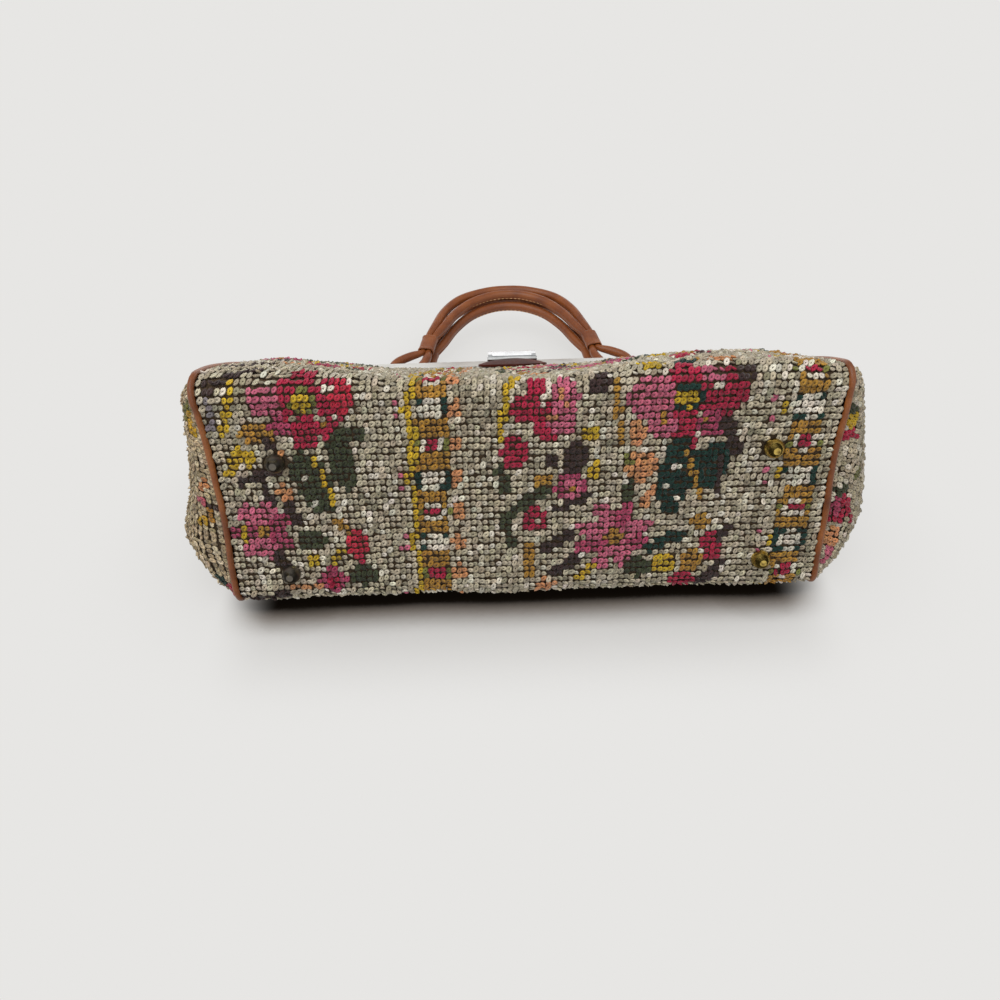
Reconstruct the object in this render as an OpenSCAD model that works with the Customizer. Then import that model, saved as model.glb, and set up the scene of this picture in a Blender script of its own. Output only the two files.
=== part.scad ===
// Framed carpet handbag standing on four domed feet.
// X runs along the bag, the front faces -Y, Z is up and z = 0 is the ground under the feet.

/* [Bag] */
// Length between the two end seams
seam_len = 326; // [280:1:380]
// Depth across the bottom
base_depth = 126; // [110:1:150]
// Depth over both walls just under the frame
neck_depth = 33; // [32.5:0.5:36]
// Height of the cloth walls where they meet the frame
neck_z = 205; // [190:1:230]
// Radius of the long bottom edges
base_edge_r = 10; // [8:0.5:14]
// Thickness of the loop-pile carpet
carpet_t = 5; // [4:0.25:6]
// Spacing of the ridges in the pile
ridge_pitch = 7.2; // [5:0.1:12]
// Height of the ridges in the pile
ridge_h = 0.8; // [0.4:0.1:1.2]
// How far the end panels belly out beyond their seams
end_belly = 26; // [12:1:34]
// Diameter of the leather piping
piping_d = 3.5; // [3:0.25:5]

/* [Frame] */
// Overall length of the frame
frame_len = 316; // [290:1:324]
// Thickness of one frame half, front to back
rail_t = 15; // [14.5:0.25:16]
// Height of the top rail
rail_h = 21; // [16:0.5:24]
// Width of the frame legs
leg_w = 12; // [10:0.5:14]
// Thickness of the frame metal
rail_wall = 1.6; // [1.2:0.1:2]
// Outer corner radius of the frame
frame_corner_r = 14; // [11:0.5:18]
// Drop from the top of the frame to its hinge
hinge_drop = 49; // [44:0.5:56]
// Diameter of the hinge rivets
hinge_pin_d = 3.5; // [2.5:0.1:4.5]

/* [Clasp] */
// Overall width of the clasp
clasp_w = 36; // [30:0.5:50]
// Diameter of the lever's barrel
barrel_d = 6; // [5:0.25:7]
// Thickness of the lever's plate
lever_t = 1.8; // [1.2:0.1:2.2]
// Width of the half-moon leather pad under the clasp
pad_w = 51; // [40:0.5:60]
// Height of the pad's dome
pad_dome_h = 4; // [3:0.25:6]

/* [Handles] */
// Distance between the lugs of one handle
lug_span = 164; // [140:1:190]
// Rise of a handle from its lugs to the middle of its outer roll
handle_rise = 121; // [100:1:140]
// Diameter of a leather roll
roll_d = 7.5; // [6.5:0.1:8]
// Forward lean of the front handle
front_lean = 19.5; // [14:0.5:22]
// Forward lean of the back handle
back_lean = 22.5; // [16:0.5:23]
// Length of a leather keeper
keeper_len = 20; // [14:0.5:21]

/* [Feet] */
// Distance of the feet from the end seams
foot_inset = 32.5; // [28:0.5:60]
// Distance of the front row of feet from the front of the bottom
front_row_inset = 40.5; // [20:0.5:45]
// Distance of the back row of feet from the back of the bottom
back_row_inset = 19.5; // [19:0.5:45]
// Diameter of a foot's dome
foot_d = 10.5; // [9:0.25:12]
// Diameter of the flat that a foot stands on
foot_flat_d = 3.8; // [3:0.1:5]
// Diameter of a foot's stud
stud_d = 3; // [2:0.1:4]

/* [Hidden] */
$fn = 48;

// Clearances and the overrun of cuts
soft_gap = 0.3;
pin_gap = 0.05;
overrun = 1;

// Places of the feet
foot_x = seam_len / 2 - foot_inset;
foot_front_y = front_row_inset - base_depth / 2;
foot_back_y = base_depth / 2 - back_row_inset;
// A foot's dome is a ball cut off at its flat, under a straight rim
foot_rim = 1.1;
foot_h = foot_rim + sqrt(foot_d * foot_d - foot_flat_d * foot_flat_d) / 2;

// Colours
carpet_colour = "#b3a48c";
leather_colour = "#96593a";
piping_colour = "#a8652f";
pad_colour = "#5a2a1e";
nickel_colour = "#c9c9c6";
chrome_colour = "#dcdee0";
brass_colour = "#b4904a";
board_colour = "#7c6a50";
lining_colour = "#9a8a6c";

// Cross-section of the walls: a flat bottom, two round edges and two leaning sides
edge_y = base_depth / 2 - base_edge_r;
edge_z = foot_h + base_edge_r;
neck_y = neck_depth / 2;
neck_reach = norm([neck_y - edge_y, neck_z - edge_z]);
wall_lean = atan2(neck_z - edge_z, neck_y - edge_y) - acos(base_edge_r / neck_reach);
edge_len = base_edge_r * (90 + wall_lean) * PI / 180;
wall_len = sqrt(neck_reach * neck_reach - base_edge_r * base_edge_r);
half_wrap = edge_y + edge_len + wall_len;
wall_foot = [edge_y + base_edge_r * cos(wall_lean), edge_z + base_edge_r * sin(wall_lean)];

// Point of the section at a run s from the bottom's middle, d inside the outer surface
function section_half(s, d) =
  s <= edge_y ? [s, foot_h + d]
  : s <= edge_y + edge_len
    ? let (a = -90 + (s - edge_y) / base_edge_r * 180 / PI)
      [edge_y + (base_edge_r - d) * cos(a), edge_z + (base_edge_r - d) * sin(a)]
    : let (t = s - edge_y - edge_len)
      [wall_foot.x - t * sin(wall_lean) - d * cos(wall_lean),
       wall_foot.y + t * cos(wall_lean) - d * sin(wall_lean)];
function section_at(s, d) = s >= 0 ? section_half(s, d) : let (p = section_half(-s, d)) [-p.x, p.y];

// Half depth over the walls at a height
function wall_y(z) =
  z < edge_z ? edge_y + sqrt(max(0, base_edge_r * base_edge_r - (edge_z - z) * (edge_z - z)))
  : wall_foot.x - (z - wall_foot.y) * tan(wall_lean);

// The seams run straight up the ends and draw in at the shoulders, under the frame's legs
frame_top = neck_z + soft_gap + rail_h;
hinge_z = frame_top - hinge_drop;
tab_r = 7;
leg_end_z = hinge_z + tab_r + overrun;
shoulder_share = 0.5;
shoulder_z = neck_z * shoulder_share;
gusset_top_z = hinge_z - tab_r - piping_d;
panel_top_x = frame_len / 2 - leg_w - soft_gap;
seam_x0 = seam_len / 2;
function seam_x(z) =
  let (t = min(1, max(0, (z - shoulder_z) / (gusset_top_z - shoulder_z))))
  seam_x0 + (panel_top_x + piping_d / 2 + soft_gap - seam_x0) * t * t * (3 - 2 * t);

// Tongue of cloth that the frame's channel grips
tongue_h = 8;
rail_gap = 0.3;
cavity_y = rail_gap / 2 + rail_t - rail_wall;
tongue_out_y = cavity_y - soft_gap;
tongue_in_y = neck_y - carpet_t / cos(wall_lean);
ridge_count = floor(2 * half_wrap / ridge_pitch);
ridge_step = 2 * half_wrap / ridge_count;
shoulder_steps = 6;
arc_steps = 6;

// Outer outline with the pile's ridges, from the front neck round to the back neck
function pile_line() = [for (i = [0:2 * ridge_count])
  section_at(-half_wrap + i * ridge_step / 2, i % 2 == 0 && i > 0 && i < 2 * ridge_count ? ridge_h : 0)];
// Smooth inner outline, from the back neck round to the front neck
function inner_half(d) = concat(
  [section_half(half_wrap, d)],
  [for (i = [0:arc_steps]) section_half(edge_y + edge_len * (1 - i / arc_steps), d)]);
function mirrored(points) = [for (i = [len(points) - 1:-1:0]) [-points[i].x, points[i].y]];
function carpet_section() = concat(
  pile_line(),
  [[tongue_out_y, neck_z], [tongue_out_y, neck_z + tongue_h], [tongue_in_y, neck_z + tongue_h]],
  inner_half(carpet_t),
  mirrored(inner_half(carpet_t)),
  [[-tongue_in_y, neck_z + tongue_h], [-tongue_out_y, neck_z + tongue_h], [-tongue_out_y, neck_z]]);

// Extrude a section drawn in Y and Z along X, centred
module along_x(length) {
  rotate([90, 0, 90])
    translate([0, 0, -length / 2])
      linear_extrude(height = length)
        children();
}

// Extrude an outline drawn in X and Z along Y, from y0 towards the back
module along_y(y0, depth) {
  translate([0, y0 + depth, 0])
    rotate([90, 0, 0])
      linear_extrude(height = depth)
        children();
}

// Front view of the carpet panel, drawn in at its shoulders
panel_inset = piping_d / 2 + soft_gap;
function panel_side() = concat(
  [[seam_x0 - panel_inset, 0]],
  [for (i = [0:shoulder_steps])
    let (z = shoulder_z + (gusset_top_z - shoulder_z) * i / shoulder_steps)
    [seam_x(z) - panel_inset, z]],
  [[panel_top_x, neck_z + tongue_h + overrun]]);
module panel_front_view() {
  polygon(concat(panel_side(), mirrored(panel_side())));
}

module at_feet() {
  for (x = [-foot_x, foot_x])
    for (y = [foot_front_y, foot_back_y])
      translate([x, y, 0])
        children();
}

// One continuous carpet wrap: front wall, bottom and back wall
module carpet_panel() {
  color(carpet_colour)
    difference() {
      intersection() {
        along_x(seam_len) polygon(carpet_section());
        along_y(-base_depth, 2 * base_depth) panel_front_view();
      }
      at_feet() cylinder(h = foot_h + carpet_t + overrun, d = stud_d + 2 * pin_gap);
    }
}

// End panel: a soft belly between the seams
gusset_t = 4;
gusset_rows = 14;
gusset_cols = 12;
belly_peak_power = 0.55;
belly_square_power = 4;
fold_depth_share = 0.5;
gusset_low_z = foot_h + piping_d / 2 + soft_gap;
function gusset_z(v) = gusset_low_z + (gusset_top_z - gusset_low_z) * v;
function gusset_x(u, v) =
  let (belly = sin(180 * pow(v, belly_peak_power)) * (1 - pow(abs(u), belly_square_power)))
  let (fold = fold_depth_share * pow(v, 2) * (1 - abs(u)))
  seam_x(gusset_z(v)) + piping_d / 2 + soft_gap + end_belly * belly * (1 - fold);
function gusset_point(i, j, inset) =
  let (u = 2 * i / gusset_cols - 1)
  let (v = j / gusset_rows)
  let (z = gusset_z(v))
  [gusset_x(u, v) + gusset_t - inset, u * (wall_y(z) - ridge_h), z];
gusset_ring = (gusset_cols + 1) * (gusset_rows + 1);
function gusset_points() = [for (inset = [0, gusset_t])
  for (j = [0:gusset_rows])
    for (i = [0:gusset_cols])
      gusset_point(i, j, inset)];
function gusset_id(side, i, j) = side * gusset_ring + j * (gusset_cols + 1) + i;
function gusset_faces() = concat(
  [for (j = [0:gusset_rows - 1]) for (i = [0:gusset_cols - 1]) for (face = [
    [gusset_id(0, i, j), gusset_id(0, i + 1, j + 1), gusset_id(0, i + 1, j)],
    [gusset_id(0, i, j), gusset_id(0, i, j + 1), gusset_id(0, i + 1, j + 1)],
    [gusset_id(1, i, j), gusset_id(1, i + 1, j), gusset_id(1, i + 1, j + 1)],
    [gusset_id(1, i, j), gusset_id(1, i + 1, j + 1), gusset_id(1, i, j + 1)]]) face],
  [for (i = [0:gusset_cols - 1]) for (face = [
    [gusset_id(0, i, 0), gusset_id(0, i + 1, 0), gusset_id(1, i + 1, 0), gusset_id(1, i, 0)],
    [gusset_id(0, i + 1, gusset_rows), gusset_id(0, i, gusset_rows),
     gusset_id(1, i, gusset_rows), gusset_id(1, i + 1, gusset_rows)]]) face],
  [for (j = [0:gusset_rows - 1]) for (face = [
    [gusset_id(0, 0, j + 1), gusset_id(0, 0, j), gusset_id(1, 0, j), gusset_id(1, 0, j + 1)],
    [gusset_id(0, gusset_cols, j), gusset_id(0, gusset_cols, j + 1),
     gusset_id(1, gusset_cols, j + 1), gusset_id(1, gusset_cols, j)]]) face]);
module gusset() {
  color(carpet_colour) polyhedron(gusset_points(), gusset_faces());
}
module gusset_right() { gusset(); }
module gusset_left() { mirror([1, 0, 0]) gusset(); }

// Leather piping in the end seams
piping_sides = 8;
piping_sink = 1;
piping_run = half_wrap - (neck_z - gusset_top_z) / cos(wall_lean);
function piping_stations() = concat(
  [for (i = [0:shoulder_steps * 2])
    piping_run + (edge_y + edge_len - piping_run) * i / (shoulder_steps * 2)],
  [for (i = [1:arc_steps]) edge_y + edge_len * (1 - i / arc_steps)]);
function piping_route() = let (half = [for (s = piping_stations())
    let (p = section_half(s, piping_sink)) [seam_x(p.y), p.x, p.y]])
  concat(half, [for (i = [len(half) - 1:-1:0]) [half[i].x, -half[i].y, half[i].z]]);

// Sweep round rings along an open route, with flat end caps
function unit(v) = v / norm(v);
function open_tangent(route, i) =
  unit(route[min(i + 1, len(route) - 1)] - route[max(i - 1, 0)]);
function tube_ring(centre, tangent, side, radius, sides) =
  let (a = unit(side - tangent * (side * tangent)))
  let (b = cross(tangent, a))
  [for (k = [0:sides - 1]) centre + radius * (cos(360 * k / sides) * a + sin(360 * k / sides) * b)];
module open_tube(route, side, radius, sides) {
  rings = [for (i = [0:len(route) - 1])
    each tube_ring(route[i], open_tangent(route, i), side, radius, sides)];
  last = (len(route) - 1) * sides;
  faces = concat(
    [[for (k = [0:sides - 1]) k]],
    [[for (k = [sides - 1:-1:0]) last + k]],
    [for (i = [0:len(route) - 2]) for (k = [0:sides - 1])
      [i * sides + k, (i + 1) * sides + k, (i + 1) * sides + (k + 1) % sides, i * sides + (k + 1) % sides]]);
  polyhedron(rings, faces);
}
module piping() {
  color(piping_colour) open_tube(piping_route(), [1, 0, 0], piping_d / 2, piping_sides);
}
module piping_right() { piping(); }
module piping_left() { mirror([1, 0, 0]) piping(); }

// Stiff board that the feet are riveted through
board_t = 2.5;
board_end_gap = 17;
board_edge = 3;
board_w = seam_len - 2 * board_end_gap;
board_depth = 2 * (edge_y - board_edge);
board_z = foot_h + carpet_t;
module base_board() {
  color(board_colour)
    difference() {
      translate([-board_w / 2, -board_depth / 2, board_z])
        cube([board_w, board_depth, board_t]);
      at_feet() cylinder(h = board_z + board_t + overrun, d = stud_d + 2 * pin_gap);
    }
}

// Domed feet with a stud through the carpet and the board
washer_t = 0.8;
washer_d = 9;
rivet_h = 0.7;
rivet_d = 5;
stud_top = board_z + board_t + washer_t;
module foot_dome() {
  rotate_extrude()
    union() {
      intersection() {
        translate([0, foot_h - foot_rim]) circle(d = foot_d);
        square([foot_d / 2, foot_h]);
      }
      translate([0, foot_h - foot_rim]) square([foot_d / 2, foot_rim]);
    }
}
module foot(x, y) {
  color(brass_colour)
    translate([x, y, 0])
      union() {
        foot_dome();
        cylinder(h = stud_top, d = stud_d);
        translate([0, 0, stud_top]) cylinder(h = rivet_h, d1 = rivet_d, d2 = stud_d);
      }
}
module foot_front_left() { foot(-foot_x, foot_front_y); }
module foot_front_right() { foot(foot_x, foot_front_y); }
module foot_back_left() { foot(-foot_x, foot_back_y); }
module foot_back_right() { foot(foot_x, foot_back_y); }
module foot_washers() {
  color(brass_colour)
    at_feet()
      translate([0, 0, board_z + board_t])
        difference() {
          cylinder(h = washer_t, d = washer_d);
          translate([0, 0, -overrun]) cylinder(h = washer_t + 2 * overrun, d = stud_d + 2 * pin_gap);
        }
}

// Cloth lining hung inside the carpet, its top edge in the frame
lining_t = 1.2;
lining_gap = 0.6;
lining_low_z = stud_top + rivet_h + soft_gap;
lining_len = 2 * (panel_top_x - lining_t);
function lining_y(z, d) = wall_y_in(z) - (lining_gap + d) / cos(wall_lean);
function wall_y_in(z) = wall_foot.x - (z - wall_foot.y) * tan(wall_lean) - carpet_t / cos(wall_lean);
function lining_half(d) = [
  [lining_y(lining_low_z + d, d), lining_low_z + d],
  [lining_y(neck_z, d), neck_z],
  [lining_y(neck_z, d), neck_z + tongue_h + (d > 0 ? overrun : 0)]];
module lining_section(d) {
  polygon(concat(lining_half(d), mirrored(lining_half(d))));
}
module lining() {
  color(lining_colour)
    difference() {
      along_x(lining_len) lining_section(0);
      along_x(lining_len - 2 * lining_t) lining_section(lining_t);
      translate([-lining_len / 2 - overrun, -neck_y, gusset_top_z])
        cube([lining_t + 2 * overrun, 2 * neck_y, neck_z]);
      translate([lining_len / 2 - lining_t - overrun, -neck_y, gusset_top_z])
        cube([lining_t + 2 * overrun, 2 * neck_y, neck_z]);
    }
}

// Frame half: a hollow inverted U of sheet metal, open towards the cloth
module rounded_top(inset) {
  half = frame_len / 2 - inset;
  top = frame_top - inset;
  r = frame_corner_r - inset;
  translate([-half, leg_end_z + inset])
    square([2 * half, top - r - leg_end_z - inset]);
  translate([-half + r, leg_end_z + inset])
    square([2 * (half - r), top - leg_end_z - inset]);
  for (side = [-1, 1])
    translate([side * (half - r), top - r])
      circle(r = r);
}
module frame_outline() {
  difference() {
    rounded_top(0);
    translate([-(frame_len / 2 - leg_w), leg_end_z - overrun])
      square([frame_len - 2 * leg_w, frame_top - rail_h - leg_end_z + overrun]);
  }
}
bead_r = 1.5;
tab_t = 2;
tab_foot_share = 0.6;
pin_r = hinge_pin_d / 2;
tab_gap = soft_gap;
tab_mid_x = frame_len / 2 - leg_w / 2;
module hinge_tab(x, side) {
  translate([x, 0, 0])
    rotate([90, 0, 90])
      linear_extrude(height = tab_t)
        difference() {
          union() {
            translate([0, hinge_z]) circle(r = tab_r);
            polygon([
              [-side * tab_r * tab_foot_share, hinge_z - tab_r * tab_foot_share],
              [side * rail_t * tab_foot_share, leg_end_z + rail_wall],
              [side * rail_gap, leg_end_z + rail_wall],
              [side * rail_gap, hinge_z]]);
          }
          translate([0, hinge_z]) circle(r = pin_r + pin_gap);
        }
}
module frame_half(side) {
  y0 = side < 0 ? -rail_gap / 2 - rail_t : rail_gap / 2;
  union() {
    difference() {
      along_y(y0, rail_t) frame_outline();
      along_y(y0 + rail_wall, rail_t - 2 * rail_wall) rounded_top(rail_wall);
    }
    translate([0, side * (rail_gap / 2 + rail_t), frame_top - rail_h + bead_r])
      rotate([0, 90, 0])
        cylinder(h = frame_len - 2 * leg_w, r = bead_r, center = true);
    for (end = [-1, 1])
      hinge_tab(end * tab_mid_x - (side * end < 0 ? tab_t + tab_gap / 2 : -tab_gap / 2), side);
  }
}
module frame_front() { color(nickel_colour) frame_half(-1); }
module frame_back() { color(nickel_colour) frame_half(1); }

// Rivets through the hinge tabs
pin_head_h = 1.2;
pin_head_share = 1.9;
pin_len = 2 * tab_t + tab_gap + 2 * soft_gap;
module hinge_pin(end) {
  color(nickel_colour)
    translate([end * tab_mid_x, 0, hinge_z])
      rotate([0, 90, 0])
        union() {
          cylinder(h = pin_len, r = pin_r, center = true);
          for (face = [-1, 1])
            translate([0, 0, face * (pin_len + pin_head_h) / 2])
              cylinder(h = pin_head_h, d = hinge_pin_d * pin_head_share, center = true);
        }
}
module hinge_pin_left() { hinge_pin(-1); }
module hinge_pin_right() { hinge_pin(1); }

// Arched lugs that hold the handles' loops
rail_mid_y = rail_gap / 2 + rail_t / 2;
loop_share = 0.9;
loop_r = roll_d / 2 * loop_share;
lug_gap = soft_gap;
lug_wall = 2;
lug_w = 5;
lug_rise = loop_r + 2 * lug_gap;
handle_z = frame_top + lug_rise;
lug_in_r = loop_r + lug_gap;
lug_out_r = lug_in_r + lug_wall;
module lug(end, side) {
  color(nickel_colour)
    translate([end * lug_span / 2, side * rail_mid_y, frame_top])
      along_x(lug_w)
        difference() {
          union() {
            translate([-lug_out_r, 0]) square([2 * lug_out_r, lug_rise]);
            intersection() {
              translate([0, lug_rise]) circle(r = lug_out_r);
              translate([-lug_out_r, 0]) square([2 * lug_out_r, lug_rise + lug_out_r]);
            }
          }
          translate([0, lug_rise]) circle(r = lug_in_r);
          translate([-lug_in_r, -overrun]) square([2 * lug_in_r, lug_rise + overrun]);
        }
}
module lug_front_left() { lug(-1, -1); }
module lug_front_right() { lug(1, -1); }
module lug_back_left() { lug(-1, 1); }
module lug_back_right() { lug(1, 1); }

// Clasp: a lever whose barrel turns between two ears on the front rail; its plate lies over both rails
ear_w = 3;
bracket_t = 1.6;
bracket_low_z = frame_top - rail_h + 2 * bead_r + soft_gap;
bracket_top_z = frame_top - rail_wall / 2;
rail_front_y = -rail_gap / 2 - rail_t;
barrel_r = barrel_d / 2;
pivot_y = rail_front_y - bracket_t - soft_gap - barrel_r;
pivot_z = bracket_low_z + barrel_r;
clasp_pin_d = 2.5;
lever_w = clasp_w - 2 * ear_w - soft_gap;
lever_reach = rail_t / 2;
catch_t = 0.6;
catch_inset = 3;
lever_top_z = frame_top + catch_t + soft_gap + lever_t;
lever_bend_r = 5;
lever_front_y = pivot_y - barrel_r;
plate_low_z = pivot_z + barrel_r + soft_gap;
module clasp_bracket() {
  color(chrome_colour)
    union() {
      translate([-clasp_w / 2, rail_front_y - bracket_t, bracket_low_z])
        cube([clasp_w, bracket_t, bracket_top_z - bracket_low_z]);
      for (end = [-1, 1])
        translate([end * (clasp_w - ear_w) / 2, 0, 0])
          along_x(ear_w)
            difference() {
              union() {
                translate([pivot_y, pivot_z]) circle(r = barrel_r);
                translate([pivot_y, pivot_z - barrel_r])
                  square([rail_front_y - bracket_t / 2 - pivot_y, barrel_d]);
              }
              translate([pivot_y, pivot_z]) circle(d = clasp_pin_d + 2 * pin_gap);
            }
    }
}
clasp_pin_head_d = 4;
clasp_pin_head_h = 0.6;
module clasp_pin() {
  color(chrome_colour)
    translate([0, pivot_y, pivot_z])
      rotate([0, 90, 0])
        union() {
          cylinder(h = clasp_w + 2 * pin_gap, d = clasp_pin_d, center = true);
          for (face = [-1, 1])
            translate([0, 0, face * (clasp_w / 2 + pin_gap + clasp_pin_head_h / 2)])
              cylinder(h = clasp_pin_head_h, d = clasp_pin_head_d, center = true);
        }
}
module lever_section() {
  bend = [lever_front_y + lever_bend_r, lever_top_z - lever_bend_r];
  difference() {
    union() {
      translate([pivot_y, pivot_z]) circle(r = barrel_r);
      translate([lever_front_y, pivot_z]) square([lever_t, bend.y - pivot_z]);
      translate([bend.x, lever_top_z - lever_t]) square([lever_reach - bend.x, lever_t]);
      intersection() {
        difference() {
          translate(bend) circle(r = lever_bend_r);
          translate(bend) circle(r = lever_bend_r - lever_t);
        }
        translate([lever_front_y, bend.y]) square([lever_bend_r, lever_bend_r]);
      }
    }
    translate([pivot_y, pivot_z]) circle(d = clasp_pin_d + 2 * pin_gap);
  }
}
module clasp_lever() {
  color(chrome_colour)
    union() {
      along_x(lever_w) lever_section();
      along_x(clasp_w)
        intersection() {
          lever_section();
          translate([lever_front_y, plate_low_z])
            square([lever_reach - lever_front_y, lever_top_z - plate_low_z]);
        }
    }
}
module clasp_catch() {
  color(chrome_colour)
    translate([-lever_w / 2, catch_inset, frame_top])
      cube([lever_w, rail_t - 2 * catch_inset, catch_t]);
}

// Half-moon leather pad on the front wall, just under the clasp
pad_edge_t = 1.5;
pad_fn = 180;
pad_cap_r = (pad_w * pad_w / 4 + pad_dome_h * pad_dome_h) / (2 * pad_dome_h);
pad_top_run = half_wrap - pad_edge_t;
module clasp_pad() {
  at = section_half(pad_top_run, -soft_gap);
  color(pad_colour)
    translate([0, -at.x, at.y])
      rotate([90 - wall_lean, 0, 0])
        rotate([0, 0, 180])
          rotate_extrude(angle = 180, $fn = pad_fn)
            union() {
              square([pad_w / 2, pad_edge_t]);
              intersection() {
                translate([0, pad_edge_t + pad_dome_h - pad_cap_r]) circle(r = pad_cap_r, $fn = 2 * pad_fn);
                translate([0, pad_edge_t]) square([pad_w / 2, pad_dome_h]);
              }
            }
}

// Handles: an endless leather roll doubled into an outer and an inner strand.
// Each row is a place as shares of the half span and the rise, then a share of the roll's radius.
handle_shares = [
  [0, 1, 1], [0.23, 0.978, 1], [0.494, 0.883, 1], [0.659, 0.719, 1], [0.757, 0.512, 0.98],
  [0.822, 0.384, 0.66], [0.841, 0.301, 0.6], [0.86, 0.219, 0.66], [0.975, 0.172, 0.9],
  [1.087, 0.116, 0.9], [1.132, 0.055, 0.9], [1.094, 0.011, 0.9], [1.045, 0, 0.9], [0.955, 0, 0.9],
  [0.894, 0.022, 0.9], [0.846, 0.079, 0.9], [0.812, 0.144, 0.86], [0.803, 0.211, 0.66],
  [0.784, 0.293, 0.6], [0.765, 0.376, 0.66], [0.672, 0.508, 0.98], [0.562, 0.669, 1],
  [0.402, 0.818, 1], [0.2, 0.908, 1], [0, 0.935, 1]
];
roll_sides = 8;
roll_steps = 2;
function handle_side() = [for (row = handle_shares)
  [row[0] * lug_span / 2, 0, row[1] * handle_rise, row[2] * roll_d / 2]];
function handle_loop() = let (side = handle_side()) let (n = len(side)) concat(
  side,
  [for (i = [n - 2:-1:1]) [-side[i][0], 0, side[i][2], side[i][3]]]);
function curve_point(a, b, c, d, t) =
  0.5 * (2 * b + (c - a) * t + (2 * a - 5 * b + 4 * c - d) * t * t + (3 * b - a - 3 * c + d) * t * t * t);
function smooth_loop(points, steps) = let (n = len(points)) [for (i = [0:n - 1]) for (k = [0:steps - 1])
  curve_point(points[(i + n - 1) % n], points[i], points[(i + 1) % n], points[(i + 2) % n], k / steps)];
function place(p) = [p[0], p[1], p[2]];
module closed_tube(points, sides) {
  n = len(points);
  rings = [for (i = [0:n - 1])
    let (tangent = unit(place(points[(i + 1) % n]) - place(points[(i + n - 1) % n])))
    each tube_ring(place(points[i]), tangent, [0, 1, 0], points[i][3], sides)];
  faces = [for (i = [0:n - 1]) for (k = [0:sides - 1])
    [i * sides + k, ((i + 1) % n) * sides + k, ((i + 1) % n) * sides + (k + 1) % sides,
     i * sides + (k + 1) % sides]];
  polyhedron(rings, faces);
}
module at_handle(side) {
  translate([0, side * rail_mid_y, handle_z])
    rotate([side < 0 ? front_lean : back_lean, 0, 0])
      children();
}
module handle(side) {
  color(leather_colour)
    at_handle(side) closed_tube(smooth_loop(handle_loop(), roll_steps), roll_sides);
}
module handle_front() { handle(-1); }
module handle_back() { handle(1); }

// Leather keepers that cinch the two strands above each loop
keeper_wall = 1.3;
keeper_outer_low_row = 7;
keeper_outer_high_row = 5;
keeper_inner_low_row = 17;
keeper_inner_high_row = 19;
module keeper(end, side) {
  rows = handle_side();
  low = (rows[keeper_outer_low_row] + rows[keeper_inner_low_row]) / 2;
  high = (rows[keeper_outer_high_row] + rows[keeper_inner_high_row]) / 2;
  apart = norm(place(rows[keeper_outer_low_row] - rows[keeper_inner_low_row])) / 2;
  tilt = atan2(high[0] - low[0], high[2] - low[2]);
  hole_r = rows[keeper_outer_low_row][3] + soft_gap;
  color(leather_colour)
    at_handle(side)
      translate([end * (low[0] + high[0]) / 2, 0, (low[2] + high[2]) / 2])
        rotate([0, end * tilt, 0])
          linear_extrude(height = keeper_len, center = true)
            difference() {
              keeper_outline(apart, hole_r + keeper_wall);
              keeper_outline(apart, hole_r);
            }
}
module keeper_outline(apart, r) {
  square([2 * apart, 2 * r], center = true);
  for (strand = [-1, 1])
    translate([strand * apart, 0])
      circle(r = r);
}
module keeper_front_left() { keeper(-1, -1); }
module keeper_front_right() { keeper(1, -1); }
module keeper_back_left() { keeper(-1, 1); }
module keeper_back_right() { keeper(1, 1); }

carpet_panel();
gusset_left();
gusset_right();
piping_left();
piping_right();
lining();
base_board();
foot_front_left();
foot_front_right();
foot_back_left();
foot_back_right();
foot_washers();
frame_front();
frame_back();
hinge_pin_left();
hinge_pin_right();
lug_front_left();
lug_front_right();
lug_back_left();
lug_back_right();
clasp_bracket();
clasp_pin();
clasp_lever();
clasp_catch();
clasp_pad();
handle_front();
handle_back();
keeper_front_left();
keeper_front_right();
keeper_back_left();
keeper_back_right();
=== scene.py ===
"""Framed handbag of floral loop-pile carpet: its looks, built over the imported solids."""

import logging
import math
from dataclasses import dataclass, field
from enum import Enum
from typing import Any, Callable

import bpy
import numpy as np
from mathutils import Matrix, Vector

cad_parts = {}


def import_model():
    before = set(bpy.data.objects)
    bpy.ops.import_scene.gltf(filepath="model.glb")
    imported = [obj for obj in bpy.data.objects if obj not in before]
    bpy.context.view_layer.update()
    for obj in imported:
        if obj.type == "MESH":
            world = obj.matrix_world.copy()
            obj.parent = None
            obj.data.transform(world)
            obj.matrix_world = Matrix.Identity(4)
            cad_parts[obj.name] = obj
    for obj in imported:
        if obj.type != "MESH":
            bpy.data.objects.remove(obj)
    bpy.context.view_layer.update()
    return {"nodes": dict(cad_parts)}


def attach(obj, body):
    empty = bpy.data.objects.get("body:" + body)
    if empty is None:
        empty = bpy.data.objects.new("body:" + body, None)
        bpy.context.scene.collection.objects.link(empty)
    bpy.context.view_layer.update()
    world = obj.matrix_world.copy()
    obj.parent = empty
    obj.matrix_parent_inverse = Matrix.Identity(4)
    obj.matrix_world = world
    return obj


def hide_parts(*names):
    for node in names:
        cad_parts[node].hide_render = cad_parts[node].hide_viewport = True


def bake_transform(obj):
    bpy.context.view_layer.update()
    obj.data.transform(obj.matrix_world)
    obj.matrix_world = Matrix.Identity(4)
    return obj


Array = np.ndarray
Piece = bpy.types.Object
Material = bpy.types.Material
Tree = bpy.types.NodeTree
Node = bpy.types.Node
Socket = bpy.types.NodeSocket
Pair = tuple[float, float]
Triple = tuple[float, float, float]
Row = tuple[float, ...]
Form = Callable[[Array, Array], Array]

LOG = logging.getLogger("carpet_bag")
MM = 0.001
SIDES = ((-1, "left"), (1, "right"))
DOME_LEAD_SHARES = (0.35, 0.75, 0.97)
DOME_RADIUS_SHARES = (0.93, 0.66, 0.25)


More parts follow.
